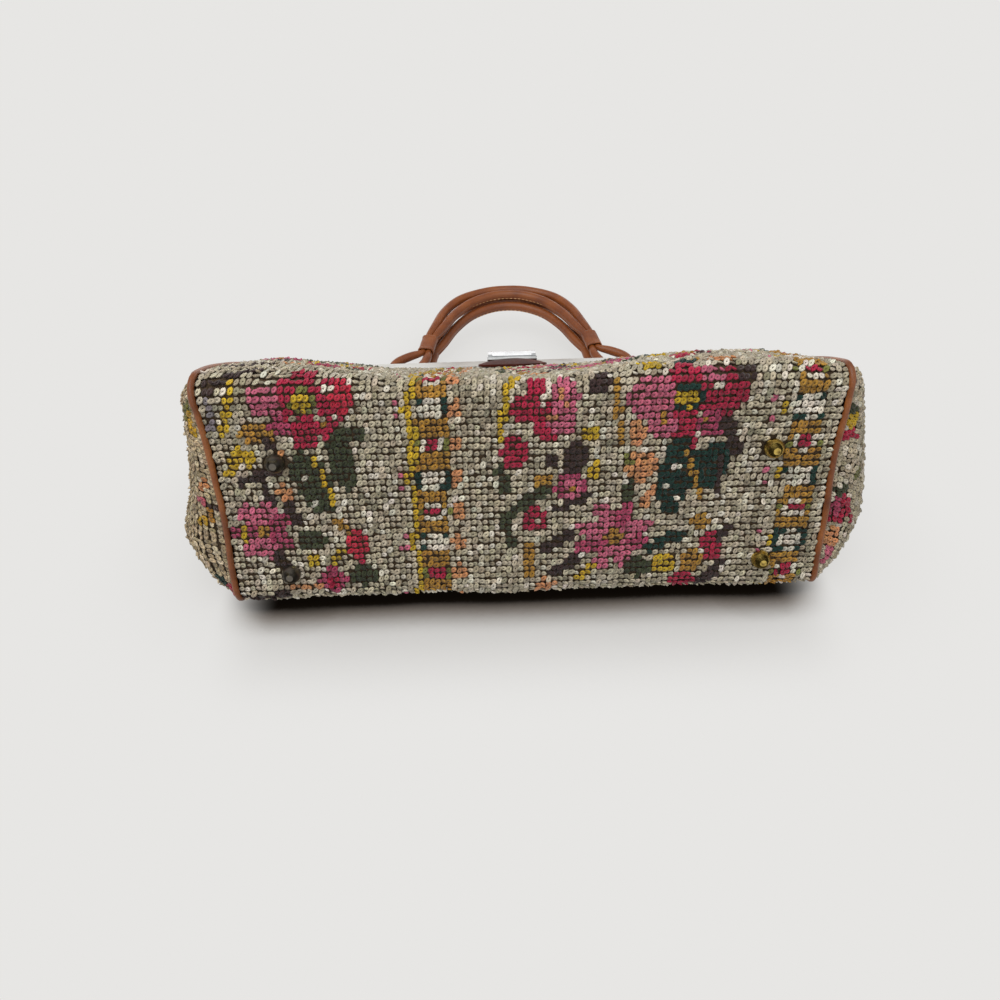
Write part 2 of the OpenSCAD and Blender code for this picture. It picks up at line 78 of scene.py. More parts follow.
def linear(hex_colour: str) -> tuple[float, float, float, float]:
    """Turn an sRGB hex colour into linear RGBA.

    Args:
        hex_colour: A colour such as "#a01038".

    Returns:
        Linear red, green, blue and an alpha of one.
    """
    channels = [int(hex_colour[i:i + 2], 16) / 255 for i in (1, 3, 5)]
    red, green, blue = (c / 12.92 if c <= 0.04045 else ((c + 0.055) / 1.055) ** 2.4 for c in channels)
    return red, green, blue, 1.0


def add_node(
    tree: Tree, kind: str, settings: dict[Any, Any] | None = None, links: dict[Any, Socket] | None = None
) -> Node:
    """Add a node with its settings and links.

    Args:
        tree: The node tree that gets the node.
        kind: The node's class name.
        settings: Properties of the node, or values of its inputs by name or place.
        links: Sockets that feed its inputs, by the input's name or place.

    Returns:
        The new node.
    """
    node = tree.nodes.new(kind)
    for key, value in (settings or {}).items():
        if isinstance(key, str) and hasattr(node, key):
            setattr(node, key, value)
        else:
            node.inputs[key].default_value = value
    for key, source in (links or {}).items():
        tree.links.new(source, node.inputs[key])
    return node


def deselect() -> None:
    """Leave edit mode and deselect everything."""
    if bpy.context.object and bpy.context.object.mode != "OBJECT":
        bpy.ops.object.mode_set(mode="OBJECT")
    bpy.ops.object.select_all(action="DESELECT")


def pick(piece: Piece) -> None:
    """Leave edit mode and select this piece alone."""
    deselect()
    piece.select_set(True)
    bpy.context.view_layer.objects.active = piece


def linked(name: str, data: bpy.types.ID) -> Piece:
    """Put an object with this mesh, lamp or camera in the scene."""
    piece = bpy.data.objects.new(name, data)
    bpy.context.scene.collection.objects.link(piece)
    return piece


def unit_rows(rows: Array) -> Array:
    """Bring each row to a length of one."""
    return rows / np.linalg.norm(rows, axis=1)[:, None]


def ring_faces(rings: int, sides: int, closed: bool) -> Array:
    """Four-cornered faces between rings of points.

    Args:
        rings: How many rings there are.
        sides: Points in each ring.
        closed: Whether the last ring joins up with the first.

    Returns:
        Four point numbers per row.
    """
    i, k = np.meshgrid(np.arange(rings if closed else rings - 1), np.arange(sides), indexing="ij")
    j, m = (i + 1) % rings, (k + 1) % sides
    corners = [i * sides + k, i * sides + m, j * sides + m, j * sides + k]
    return np.stack(corners, -1).reshape(-1, 4)


def finish_modifier(piece: Piece, kind: str, **settings: Any) -> None:
    """Add a modifier to a piece and apply it.

    Args:
        piece: The mesh object.
        kind: The modifier's type.
        settings: The modifier's properties.
    """
    pick(piece)
    modifier = piece.modifiers.new(kind.lower(), kind)
    for key, value in settings.items():
        setattr(modifier, key, value)
    bpy.ops.object.modifier_apply(modifier=modifier.name)


def smooth(piece: Piece, angle_deg: float = 40.0) -> None:
    """Shade a piece smooth but for its sharp edges.

    Args:
        piece: The mesh object.
        angle_deg: The angle past which an edge stays sharp.
    """
    pick(piece)
    bpy.ops.object.shade_smooth_by_angle(angle=math.radians(angle_deg))


def face_outwards(piece: Piece, merge_mm: float = 0.01) -> None:
    """Merge doubles and turn a closed piece's faces outwards.

    Args:
        piece: The mesh object.
        merge_mm: The distance under which points are merged.
    """
    pick(piece)
    bpy.ops.object.mode_set(mode="EDIT")
    bpy.ops.mesh.select_all(action="SELECT")
    bpy.ops.mesh.remove_doubles(threshold=merge_mm * MM)
    bpy.ops.mesh.normals_make_consistent(inside=False)
    bpy.ops.object.mode_set(mode="OBJECT")


def shaped_panel(name: str, columns: int, rows: int, form: Form, flip: bool = False) -> Piece:
    """Add a grid primitive and lay its points on a form.

    Args:
        name: The piece's name.
        columns: Faces across.
        rows: Faces along.
        form: Gives points in millimetres for u and v from -1 to 1.
        flip: Whether its faces are turned over.

    Returns:
        The shaped panel, one layer thick.
    """
    deselect()
    bpy.ops.mesh.primitive_grid_add(x_subdivisions=columns, y_subdivisions=rows, size=2, enter_editmode=True)
    if flip:
        bpy.ops.mesh.select_all(action="SELECT")
        bpy.ops.mesh.flip_normals()
    bpy.ops.object.mode_set(mode="OBJECT")
    piece = bpy.context.object
    piece.name = piece.data.name = name
    flat = np.zeros(len(piece.data.vertices) * 3)
    piece.data.vertices.foreach_get("co", flat)
    flat = flat.reshape(-1, 3)
    piece.data.vertices.foreach_set("co", (form(flat[:, 0], flat[:, 1]) * MM).ravel())
    piece.data.update()
    return piece


def mesh_piece(name: str, points_mm: Array, faces: Array) -> Piece:
    """Make a smooth mesh object from arrays of points and four-cornered faces.

    Args:
        name: The piece's name.
        points_mm: Points, one row each, in millimetres.
        faces: Four point numbers per row.

    Returns:
        The linked object.
    """
    mesh = bpy.data.meshes.new(name)
    mesh.vertices.add(len(points_mm))
    mesh.vertices.foreach_set("co", (points_mm * MM).astype(np.float32).ravel())
    mesh.loops.add(faces.size)
    mesh.loops.foreach_set("vertex_index", faces.astype(np.int32).ravel())
    mesh.polygons.add(len(faces))
    mesh.polygons.foreach_set("loop_start", np.arange(0, faces.size, 4, dtype=np.int32))
    mesh.polygons.foreach_set("use_smooth", np.ones(len(faces), bool))
    mesh.update(calc_edges=True)
    mesh.validate()
    return linked(name, mesh)


def tube(name: str, route: Array, radii: Array, side: Array, sides: int, closed: bool) -> Piece:
    """Sweep rings along a route.

    Args:
        name: The piece's name.
        route: Points in millimetres.
        radii: The tube's radius at each point.
        side: A direction that no stretch of the route runs along.
        sides: Points in each ring.
        closed: Whether the route joins up with its start.

    Returns:
        The tube, with domed ends where it is open.
    """
    if not closed:
        lead, back = np.array(DOME_LEAD_SHARES), np.array(DOME_RADIUS_SHARES)
        first, last = route[0] - route[1], route[-1] - route[-2]
        first, last = first / np.linalg.norm(first), last / np.linalg.norm(last)
        start = route[0] + np.outer(lead[::-1] * radii[0], first)
        stop = route[-1] + np.outer(lead * radii[-1], last)
        route = np.concatenate([start, route, stop])
        radii = np.concatenate([back[::-1] * radii[0], radii, back * radii[-1]])
    if closed:
        tangent = unit_rows(np.roll(route, -1, 0) - np.roll(route, 1, 0))
    else:
        tangent = unit_rows(np.gradient(route, axis=0))
    across = unit_rows(side - tangent * (tangent @ side)[:, None])
    third = np.cross(tangent, across)
    turn = np.arange(sides) / sides * 2 * math.pi
    rings = route[:, None] + radii[:, None, None] * (
        np.cos(turn)[None, :, None] * across[:, None] + np.sin(turn)[None, :, None] * third[:, None])
    return mesh_piece(name, rings.reshape(-1, 3), ring_faces(len(route), sides, closed))


def listed_piece(name: str, points_mm: Array, faces: list[list[int]]) -> Piece:
    """Make a mesh object from points and faces of any number of corners.

    Args:
        name: The piece's name.
        points_mm: Points, one row each, in millimetres.
        faces: Point numbers of each face.

    Returns:
        The linked object.
    """
    mesh = bpy.data.meshes.new(name)
    mesh.from_pydata((points_mm * MM).tolist(), [], faces)
    return linked(name, mesh)


def fan_faces(rings: int, sectors: int) -> list[list[int]]:
    """Faces of a disc's sector: a fan round point 0, then rings of sectors + 1 points each."""
    faces = [[0, 1 + k, 2 + k] for k in range(sectors)]
    for ring in range(rings - 1):
        first = 1 + ring * (sectors + 1)
        faces += [[first + k, first + k + sectors + 1, first + k + sectors + 2, first + k + 1]
                  for k in range(sectors)]
    return faces


def run_along(points: Array) -> Array:
    """Run from the first point to each point of a line."""
    return np.concatenate([[0], np.cumsum(np.linalg.norm(np.diff(points, axis=0), axis=1))])


def rise(value: Array) -> Array:
    """Ease a share from 0 to 1 smoothly."""
    t = np.clip(value, 0, 1)
    return t * t * (3 - 2 * t)


@dataclass
class BagForm:
    """Sizes of the bag in millimetres, as in the part's source, and the surfaces that they give."""

    seam_len: float = 326
    base_depth: float = 126
    neck_depth: float = 33
    neck_z: float = 205
    base_edge_r: float = 10
    end_belly: float = 26
    piping_d: float = 3.5
    foot_h: float = 5.994
    soft_gap: float = 0.3
    gusset_t: float = 4
    ridge_h: float = 0.8
    shoulder_z: float = 102.5
    gusset_top_z: float = 166.8
    panel_top_x: float = 145.7
    end_u: Row = (-1, -0.9, -0.75, -0.5, -0.2, 0, 0.25, 0.45, 0.7, 1)
    end_out_left: Row = (0, -7, -13, -12, -8, -5, 0, 5, 4, 0)
    end_out_right: Row = (0, -6, -10, -7, -2, 1, 3, 4, 2, 0)
    flare_s: Row = (-200, -150, -110, -80, -62, -45, -22, 0)
    flare_out: Row = (0, 1.5, 3.2, 4.2, 4.4, 3.2, 1, 0)
    swell_x: Row = (-165, -140, -115, -90, -60, 0, 30, 60, 100, 140, 165)
    swell_out: Row = (9, 11, 9, 5, 0, -1, 1, 5.5, 8, 8, 3)
    back_swell: float = 1.0
    belly_power: float = 0.62
    ripples: tuple[Triple, ...] = ((0.5, 21, 37), (0.35, 11, -17))
    ripple_fade_shares: Pair = (0.85, 0.15)
    end_power: float = 0.55
    end_fold: float = 0.5
    rim_shares: Pair = (0.15, 0.85)
    rim_rate: float = 3
    corner_share: float = 0.55
    sag_u: Row = (0, 0.35, 0.73, 1)
    sag_shares: Row = (0, 0.2, 0.7, 1)
    nudge: float = 2e-3
    edge_y: float = field(init=False)
    edge_z: float = field(init=False)
    lean: float = field(init=False)
    edge_len: float = field(init=False)
    wall_len: float = field(init=False)

    def __post_init__(self) -> None:
        """Work out the section's edges and leaning walls."""
        self.edge_y = self.base_depth / 2 - self.base_edge_r
        self.edge_z = self.foot_h + self.base_edge_r
        dy, dz = self.neck_depth / 2 - self.edge_y, self.neck_z - self.edge_z
        reach = math.hypot(dy, dz)
        self.lean = math.atan2(dz, dy) - math.acos(self.base_edge_r / reach)
        self.edge_len = self.base_edge_r * (math.pi / 2 + self.lean)
        self.wall_len = math.sqrt(reach * reach - self.base_edge_r ** 2)

    @property
    def half_wrap(self) -> float:
        """Run of the carpet from the bottom's middle to the neck."""
        return self.edge_y + self.edge_len + self.wall_len

    @property
    def piping_run(self) -> float:
        """Run from the bottom's middle to the piping's end."""
        return self.half_wrap - (self.neck_z - self.gusset_top_z) / math.cos(self.lean)

    @property
    def wall_foot(self) -> Pair:
        """Y and Z where the back wall leaves the bottom's rounded edge."""
        r = self.base_edge_r
        return self.edge_y + r * math.cos(self.lean), self.edge_z + r * math.sin(self.lean)

    @property
    def panel_inset(self) -> float:
        """Distance from a seam to the carpet panel's edge."""
        return self.piping_d / 2 + self.soft_gap

    def section(self, s: Array, d: float) -> tuple[Array, Array, Array, Array]:
        """Follow the wrap's section.

        Args:
            s: Run from the bottom's middle, less than zero on the front.
            d: Depth inside the outer surface.

        Returns:
            Y and Z of the points, and Y and Z of their outward normals.
        """
        run, sign = np.abs(s), np.where(s < 0, -1.0, 1.0)
        flat, edge_r = run <= self.edge_y, self.base_edge_r - d
        angle = -math.pi / 2 + np.clip((run - self.edge_y) / self.base_edge_r, 0, math.pi / 2 + self.lean)
        up = np.maximum(0, run - self.edge_y - self.edge_len)
        ny, nz = np.cos(angle), np.sin(angle)
        y = np.where(flat, run, self.edge_y + edge_r * ny - up * math.sin(self.lean))
        z = np.where(flat, self.foot_h + d, self.edge_z + edge_r * nz + up * math.cos(self.lean))
        return y * sign, z, np.where(flat, 0, ny) * sign, np.where(flat, -1, nz)

    def wall_y(self, z: Array) -> Array:
        """Half depth over the walls at heights z."""
        foot_y, foot_z = self.wall_foot
        low = self.edge_y + np.sqrt(np.maximum(0, self.base_edge_r ** 2 - (self.edge_z - z) ** 2))
        return np.where(z < self.edge_z, low, foot_y - (z - foot_z) * math.tan(self.lean))

    def seam_x(self, z: Array) -> Array:
        """Half length between the seams at heights z, drawn in at the shoulders."""
        t = rise((z - self.shoulder_z) / (self.gusset_top_z - self.shoulder_z))
        top = self.panel_top_x + self.panel_inset
        return self.seam_len / 2 + (top - self.seam_len / 2) * t

    def swell(self, x: Array, s: Array) -> Array:
        """How far the carpet stands out of the plain section, as it slumps and bellies."""
        up = np.clip((np.abs(s) - self.edge_y) / (self.edge_len + self.wall_len), 0, 1)
        belly = np.sin(math.pi * up ** self.belly_power)
        front = np.interp(x, self.swell_x, self.swell_out)
        ripple = sum(height * np.sin(x / along + s / round_it) for height, along, round_it in self.ripples)
        fade_from, fade_len = self.ripple_fade_shares
        fade = 1 - rise((up - fade_from) / fade_len)
        return np.where(s < 0, front, self.back_swell) * belly + ripple * fade

    def wrap(self, x: Array, s: Array, d: float) -> tuple[Array, Array]:
        """Points and normals on the swollen carpet.

        Args:
            x: Places along the bag.
            s: Runs round the wrap.
            d: Depth inside the outer surface.

        Returns:
            Points and outward normals, one row each.
        """
        y, z, ny, nz = self.section(s, d)
        out = self.swell(x, s)
        points = np.stack([x, y + ny * out, z + nz * out], -1)
        return points, np.stack([np.zeros_like(x), ny, nz], -1)

    def flare(self, s: Array) -> Array:
        """How far the seams stand out along the bag where its front bottom corners sag."""
        return np.interp(s, self.flare_s, self.flare_out)

    def edge_x(self, s: Array) -> Array:
        """Half length of the carpet panel at runs s."""
        return self.seam_x(self.section(s, 0)[1]) - self.panel_inset + self.flare(s)

    def end_skin(self, side: int, u: Array, w: Array) -> Array:
        """Points on the outside of an end panel's belly.

        Args:
            side: -1 for the left end, 1 for the right.
            u: Place across, from -1 at the front to 1 at the back.
            w: Place up, from 0 to 1, closer set at the bottom.

        Returns:
            Points, one row each.
        """
        low, v = self.foot_h + self.panel_inset, w ** (1 / self.end_power)
        z = low + (self.gusset_top_z - low) * v
        belly = np.sin(math.pi * w) * np.maximum(0, 1 - np.abs(u) ** 4)
        fold = self.end_fold * v ** 2 * (1 - np.abs(u))
        out = self.end_out_left if side < 0 else self.end_out_right
        reach = self.end_belly + np.interp(u, self.end_u, out)
        rim = self.gusset_t * (self.rim_shares[0] + self.rim_shares[1] * rise(belly * self.rim_rate))
        up = np.maximum(0, z - self.edge_z - self.base_edge_r * math.sin(self.lean)) / math.cos(self.lean)
        run = -(self.edge_y + self.edge_len * self.corner_share + up)
        sag = self.flare(run) * np.interp(-u, self.sag_u, self.sag_shares)
        x = self.seam_x(z) + self.panel_inset + reach * belly * (1 - fold) + rim + sag
        front = self.swell(np.full_like(z, side * self.seam_len / 2), run) * np.clip(-u, 0, 1) ** 3
        return np.stack([side * x, u * (self.wall_y(z) - self.ridge_h) - front, z], -1)

    def end_points(self, side: int, u: Array, w: Array, d: float) -> tuple[Array, Array, Array]:
        """Points of an end panel's belly.

        Args:
            side: -1 for the left end, 1 for the right.
            u: Place across, from -1 at the front to 1 at the back.
            w: Place up, from 0 to 1.
            d: Depth inside the outer surface.

        Returns:
            Points, outward normals and directions along the rows, one row each.
        """
        h = self.nudge
        u, w = np.clip(u, -1 + h, 1 - h), np.clip(w, h, 1 - h)
        du = self.end_skin(side, u + h, w) - self.end_skin(side, u - h, w)
        dw = self.end_skin(side, u, w + h) - self.end_skin(side, u, w - h)
        normals = unit_rows(np.cross(du, dw) * side)
        return self.end_skin(side, u, w) - normals * d, normals, unit_rows(du)


class Yarn(Enum):
    """Dyed yarns of the carpet."""

    STONE = "#b3a993"
    DRAB = "#968c76"
    CHALK = "#d0c9b9"
    LILAC_GREY = "#857d83"
    CRIMSON = "#9f193a"
    SCARLET = "#ae2138"
    PINK = "#b85d75"
    MAGENTA = "#9c3a58"
    YELLOW = "#b8981c"
    OCHRE = "#9f752a"
    PEACH = "#bf8458"
    BOTTLE = "#12332c"
    MOSS = "#3a402a"
    OLIVE = "#6d6f34"
    BROWN = "#3a2a28"


@dataclass(frozen=True)
class Spot:
    """An oval of one yarn, in millimetres on the carpet."""

    yarn: Yarn
    x: float
    s: float
    rx: float
    rs: float
    turn_deg: float = 0.0

    def covers(self, x: Array, s: Array) -> Array:
        """Which tufts the oval covers."""
        c, n = math.cos(math.radians(self.turn_deg)), math.sin(math.radians(self.turn_deg))
        dx, ds = x - self.x, s - self.s
        return ((dx * c + ds * n) / self.rx) ** 2 + ((ds * c - dx * n) / self.rs) ** 2 <= 1


@dataclass(frozen=True)
class Stem:
    """A line of one yarn through points, in millimetres on the carpet."""

    yarn: Yarn
    width: float
    points: tuple[Pair, ...]

    def covers(self, x: Array, s: Array) -> Array:
        """Which tufts the line covers."""
        hit = np.zeros(len(x), bool)
        for (ax, a_s), (bx, b_s) in zip(self.points, self.points[1:]):
            length = math.hypot(bx - ax, b_s - a_s)
            t = np.clip(((x - ax) * (bx - ax) + (s - a_s) * (b_s - a_s)) / length ** 2, 0, 1)
            hit |= np.hypot(x - ax - t * (bx - ax), s - a_s - t * (b_s - a_s)) <= self.width / 2
        return hit


@dataclass(frozen=True)
class Bloom:
    """A many-petalled flower of two yarns round a centre."""

    yarn: Yarn
    shade: Yarn
    centre: Yarn
    x: float
    s: float
    rx: float
    rs: float
    petals: int
    heart_share: float = 0.62
    petal_place_share: float = 0.6
    petal_shares: Pair = (0.42, 0.24)
    centre_shares: Pair = (0.25, 0.22)

    def parts(self) -> list[Spot]:
        """The ovals that make the flower."""
        spots = [Spot(self.shade, self.x, self.s, self.rx * self.heart_share, self.rs * self.heart_share)]
        for i in range(self.petals):
            a = 2 * math.pi * (i + 0.5) / self.petals
            yarn = self.yarn if i % 3 else self.shade
            x = self.x + self.petal_place_share * self.rx * math.cos(a)
            s = self.s + self.petal_place_share * self.rs * math.sin(a)
            spots.append(Spot(yarn, x, s, self.rx * self.petal_shares[0], self.rs * self.petal_shares[1],
                              math.degrees(a)))
        spots.append(Spot(self.centre, self.x, self.s, self.rx * self.centre_shares[0],
                          self.rs * self.centre_shares[1]))
        return spots


@dataclass(frozen=True)
class Border:
    """A striped border that runs round the bag: blocks, rings, a zigzag line and a row of peach tufts."""

    x: float
    phase: float
    edged: bool
    period: float = 38.3
    skew: float = 0.02
    half_w: float = 8.2
    block_half: float = 5.8
    block_oval: Pair = (7.0, 6.4)
    ring_oval: Pair = (6.6, 5.0)
    heart_oval: Pair = (4.6, 2.9)
    leaf_at: float = 7.2
    leaf_half: Pair = (1.4, 2.2)
    dot_at: Pair = (-17.6, 4.2)
    dot_half: Pair = (1.7, 1.9)
    zigzag_at: float = -9.6
    zigzag_out: float = 3.6
    zigzag_len: float = 6.0
    zigzag_half: float = 2.0
    tuft_at: float = 12.4
    tuft_oval: Pair = (3.6, 5.4)
    bud_at: float = -11.4
    bud_half: Pair = (1.9, 3.6)
    edge_at: float = 9.6
    edge_half: float = 1.6
    edge_gap: float = 4

    @staticmethod
    def _oval(a: Array, b: Array, half: Pair) -> Array:
        """Which tufts lie in an oval of half sizes half."""
        return (a / half[0]) ** 2 + (b / half[1]) ** 2 < 1

    @staticmethod
    def _box(a: Array, b: Array, half: Pair) -> Array:
        """Which tufts lie in a box of half sizes half."""
        return (np.abs(a) < half[0]) & (np.abs(b) < half[1])

    def paint(self, x: Array, s: Array, cover: Callable[[Array, Yarn], None]) -> None:
        """Lay the border's yarns.

        Args:
            x: Places of the tufts along the bag.
            s: Their runs round the wrap.
            cover: Gives tufts their yarn.
        """
        a = x - self.x + self.skew * s
        ring = (s - self.phase + self.period / 2) % self.period - self.period / 2
        block = (s - self.phase) % self.period - self.period / 2
        half = (s - self.phase + self.period / 4) % (self.period / 2) - self.period / 4
        zigzag = self.zigzag_at - self.zigzag_out * np.exp(-(block / self.zigzag_len) ** 2)
        dot_x, dot_s = self.dot_at
        cover(np.abs(a) < self.half_w, Yarn.OCHRE)
        cover(self._box(a, block, (self.half_w, self.block_half)), Yarn.BOTTLE)
        cover(self._oval(a, block, self.block_oval), Yarn.CHALK)
        cover(self._oval(a, ring, self.ring_oval), Yarn.CHALK)
        cover(self._oval(a, ring, self.heart_oval), Yarn.CRIMSON)
        cover(self._box(np.abs(a) - self.leaf_at, ring, self.leaf_half), Yarn.OLIVE)
        cover(self._box(a - dot_x, np.abs(block) - dot_s, self.dot_half), Yarn.PINK)
        if self.edged:
            cover(np.abs(a - zigzag) < self.zigzag_half, Yarn.YELLOW)
            cover(self._oval(a - self.tuft_at, half, self.tuft_oval), Yarn.PEACH)
        else:
            cover(self._box(a - self.bud_at, block, self.bud_half), Yarn.YELLOW)
            cover((np.abs(a - self.edge_at) < self.edge_half) & (np.abs(ring) > self.edge_gap), Yarn.DRAB)


def left_posy() -> list[Spot | Stem]:
    """Flowers, leaves and scrolls left of the first border."""
    return [
        Stem(Yarn.LILAC_GREY, 5, ((-161, -60), (-160, -42))),
        Stem(Yarn.BROWN, 5, ((-136, -76), (-147, -67), (-160, -62))),
        Stem(Yarn.YELLOW, 5, ((-148, -62), (-151, -52), (-156, -40))),
        Spot(Yarn.OCHRE, -138, -38, 9, 6),
        Spot(Yarn.YELLOW, -146, -25, 5, 5),
        Stem(Yarn.YELLOW, 6, ((-149, -30), (-155, -18))),
        Stem(Yarn.BROWN, 5, ((-134, -33), (-126, -27))),
        Stem(Yarn.BROWN, 5.5, ((-151, -11), (-140, -15), (-129, -17))),
        Stem(Yarn.BROWN, 6, ((-138, -8), (-137, 2))),
        Spot(Yarn.PEACH, -128, -5, 4, 4.5),
        Spot(Yarn.PEACH, -129, -27, 3, 3),
        Spot(Yarn.PINK, -130, -55, 11, 9),
        Spot(Yarn.CRIMSON, -112, -66, 7, 8),
        Spot(Yarn.CRIMSON, -97, -55, 11, 10),
        Spot(Yarn.SCARLET, -92, -56, 6, 9),
        Spot(Yarn.CRIMSON, -113, -38, 7, 10),
        Spot(Yarn.MAGENTA, -126, -42, 5.5, 7),
        Spot(Yarn.CRIMSON, -121, -55, 3.5, 11),
        Spot(Yarn.CRIMSON, -101, -40, 6.5, 5.5),
        Spot(Yarn.CHALK, -100, -60, 2.6, 2.6),
        Spot(Yarn.CHALK, -97, -47, 3.0, 2.2),
        Spot(Yarn.OCHRE, -104, -43, 2.2, 2.2),
        Spot(Yarn.OLIVE, -113, -54, 7, 7),
        Spot(Yarn.YELLOW, -113, -54, 4.6, 4.6),
        Spot(Yarn.MOSS, -90, -37, 7.5, 5),
        Spot(Yarn.MOSS, -96, -20, 7.5, 15.5, -12),
        Spot(Yarn.MOSS, -112, -10, 9.5, 19, -20),
        Stem(Yarn.YELLOW, 3.4, ((-111, -25), (-106, -10), (-102, 2))),
        Spot(Yarn.CHALK, -117, -14, 2, 2.6),
        Spot(Yarn.CHALK, -112, 2, 2, 2.6),
        Spot(Yarn.MOSS, -117, 23, 8, 6),
        *Bloom(Yarn.PINK, Yarn.MAGENTA, Yarn.OCHRE, -142, 18, 18, 21, 7).parts(),
        Spot(Yarn.YELLOW, -153, 20, 2, 4),
        Stem(Yarn.BROWN, 6, ((-126, 3), (-124, 13))),
        Stem(Yarn.BROWN, 7, ((-136, 31), (-134, 42))),
        Stem(Yarn.BROWN, 7, ((-160, 60), (-148, 62), (-137, 58))),
        Stem(Yarn.PEACH, 3.6, ((-131, 52), (-116, 53))),
        Stem(Yarn.YELLOW, 4.2, ((-107, 37), (-101, 30))),
        Spot(Yarn.YELLOW, -117, 37, 4, 5),
        Stem(Yarn.OCHRE, 3.6, ((-104, 11), (-97, 17), (-94, 21))),
        Spot(Yarn.SCARLET, -92, 27, 6.5, 8),
        Stem(Yarn.CRIMSON, 3.2, ((-92, 34), (-92, 42))),
        Spot(Yarn.MOSS, -91, 47, 7, 6),
        Spot(Yarn.MAGENTA, -108, 49, 8.5, 8.5),
        Spot(Yarn.CRIMSON, -108, 50, 4, 4),
    ]


def middle_posy() -> list[Spot | Stem]:
    """Rose, buds and stems between the borders."""
    return [
        Stem(Yarn.YELLOW, 4.2, ((-3, -70), (-9, -58), (-11, -45), (-12, -33))),
        Spot(Yarn.CRIMSON, 7, -59, 7, 8),
        Spot(Yarn.CRIMSON, 3, -47, 11, 8),
        Spot(Yarn.CRIMSON, 12, -38, 8.5, 7.5),
        Spot(Yarn.PINK, 21, -53, 7.5, 12),
        Spot(Yarn.PINK, 20, -41, 8, 8),
        Spot(Yarn.CHALK, 13, -58, 1.8, 4),
        Spot(Yarn.CHALK, 9, -51, 2, 2.4),
        Spot(Yarn.PEACH, 20, -55, 2, 3.4),
        Spot(Yarn.PEACH, 23, -49, 2, 2.2),
        Spot(Yarn.PEACH, 14, -43, 2.6, 2.2),
        Spot(Yarn.CRIMSON, -6, -24, 7, 8.5),
        Stem(Yarn.MOSS, 6, ((-13, -14), (-11, -4))),
        Stem(Yarn.MOSS, 6, ((14, -3), (1, 4), (-10, 14), (-9, 30))),
        Spot(Yarn.BROWN, 39, -60, 6.5, 5),
        Spot(Yarn.BROWN, 26, -19, 6.5, 9.5),
        Spot(Yarn.BROWN, 15, -18, 4, 4),
        Stem(Yarn.YELLOW, 4, ((30, -33), (38, -33))),
        Stem(Yarn.YELLOW, 4, ((37, -18), (36, -9))),
        Stem(Yarn.OCHRE, 4.2, ((48, -62), (48, -43))),
        Stem(Yarn.OCHRE, 3.6, ((49, -37), (50, -27))),
        Spot(Yarn.PEACH, 58, -33, 4.5, 6.5),
        Spot(Yarn.PEACH, 61, -14, 8.5, 9.5),
        Spot(Yarn.OLIVE, 54, -18, 3, 4),
        Stem(Yarn.PEACH, 5, ((69, -3), (64, 8))),
        Spot(Yarn.OCHRE, 9, -8, 5.5, 4),
        Spot(Yarn.MAGENTA, 24, -3, 8.5, 8.5),
        Spot(Yarn.PINK, 25, -2, 5, 5),
        Spot(Yarn.OCHRE, 26, -1, 2, 2),
        Stem(Yarn.MOSS, 4.4, ((55, -4), (55, 12))),
        Stem(Yarn.BROWN, 5, ((17, 10), (33, 2))),
        Spot(Yarn.CRIMSON, 5, 16, 7, 7.5),
        Spot(Yarn.STONE, 5, 15, 2, 2),
        *Bloom(Yarn.PINK, Yarn.MAGENTA, Yarn.OCHRE, 48, 27, 23, 21, 8).parts(),
        Stem(Yarn.BROWN, 6, ((10, 34), (25, 24))),
        Stem(Yarn.BROWN, 6.5, ((14, 49), (28, 40))),
        Stem(Yarn.YELLOW, 4.4, ((29, 52), (37, 45))),
        Stem(Yarn.OCHRE, 5.4, ((1, 30), (1, 50))),
        Spot(Yarn.PEACH, 10, 57, 6, 4.5),
        Spot(Yarn.MOSS, 62, 47, 7.5, 6),
    ]


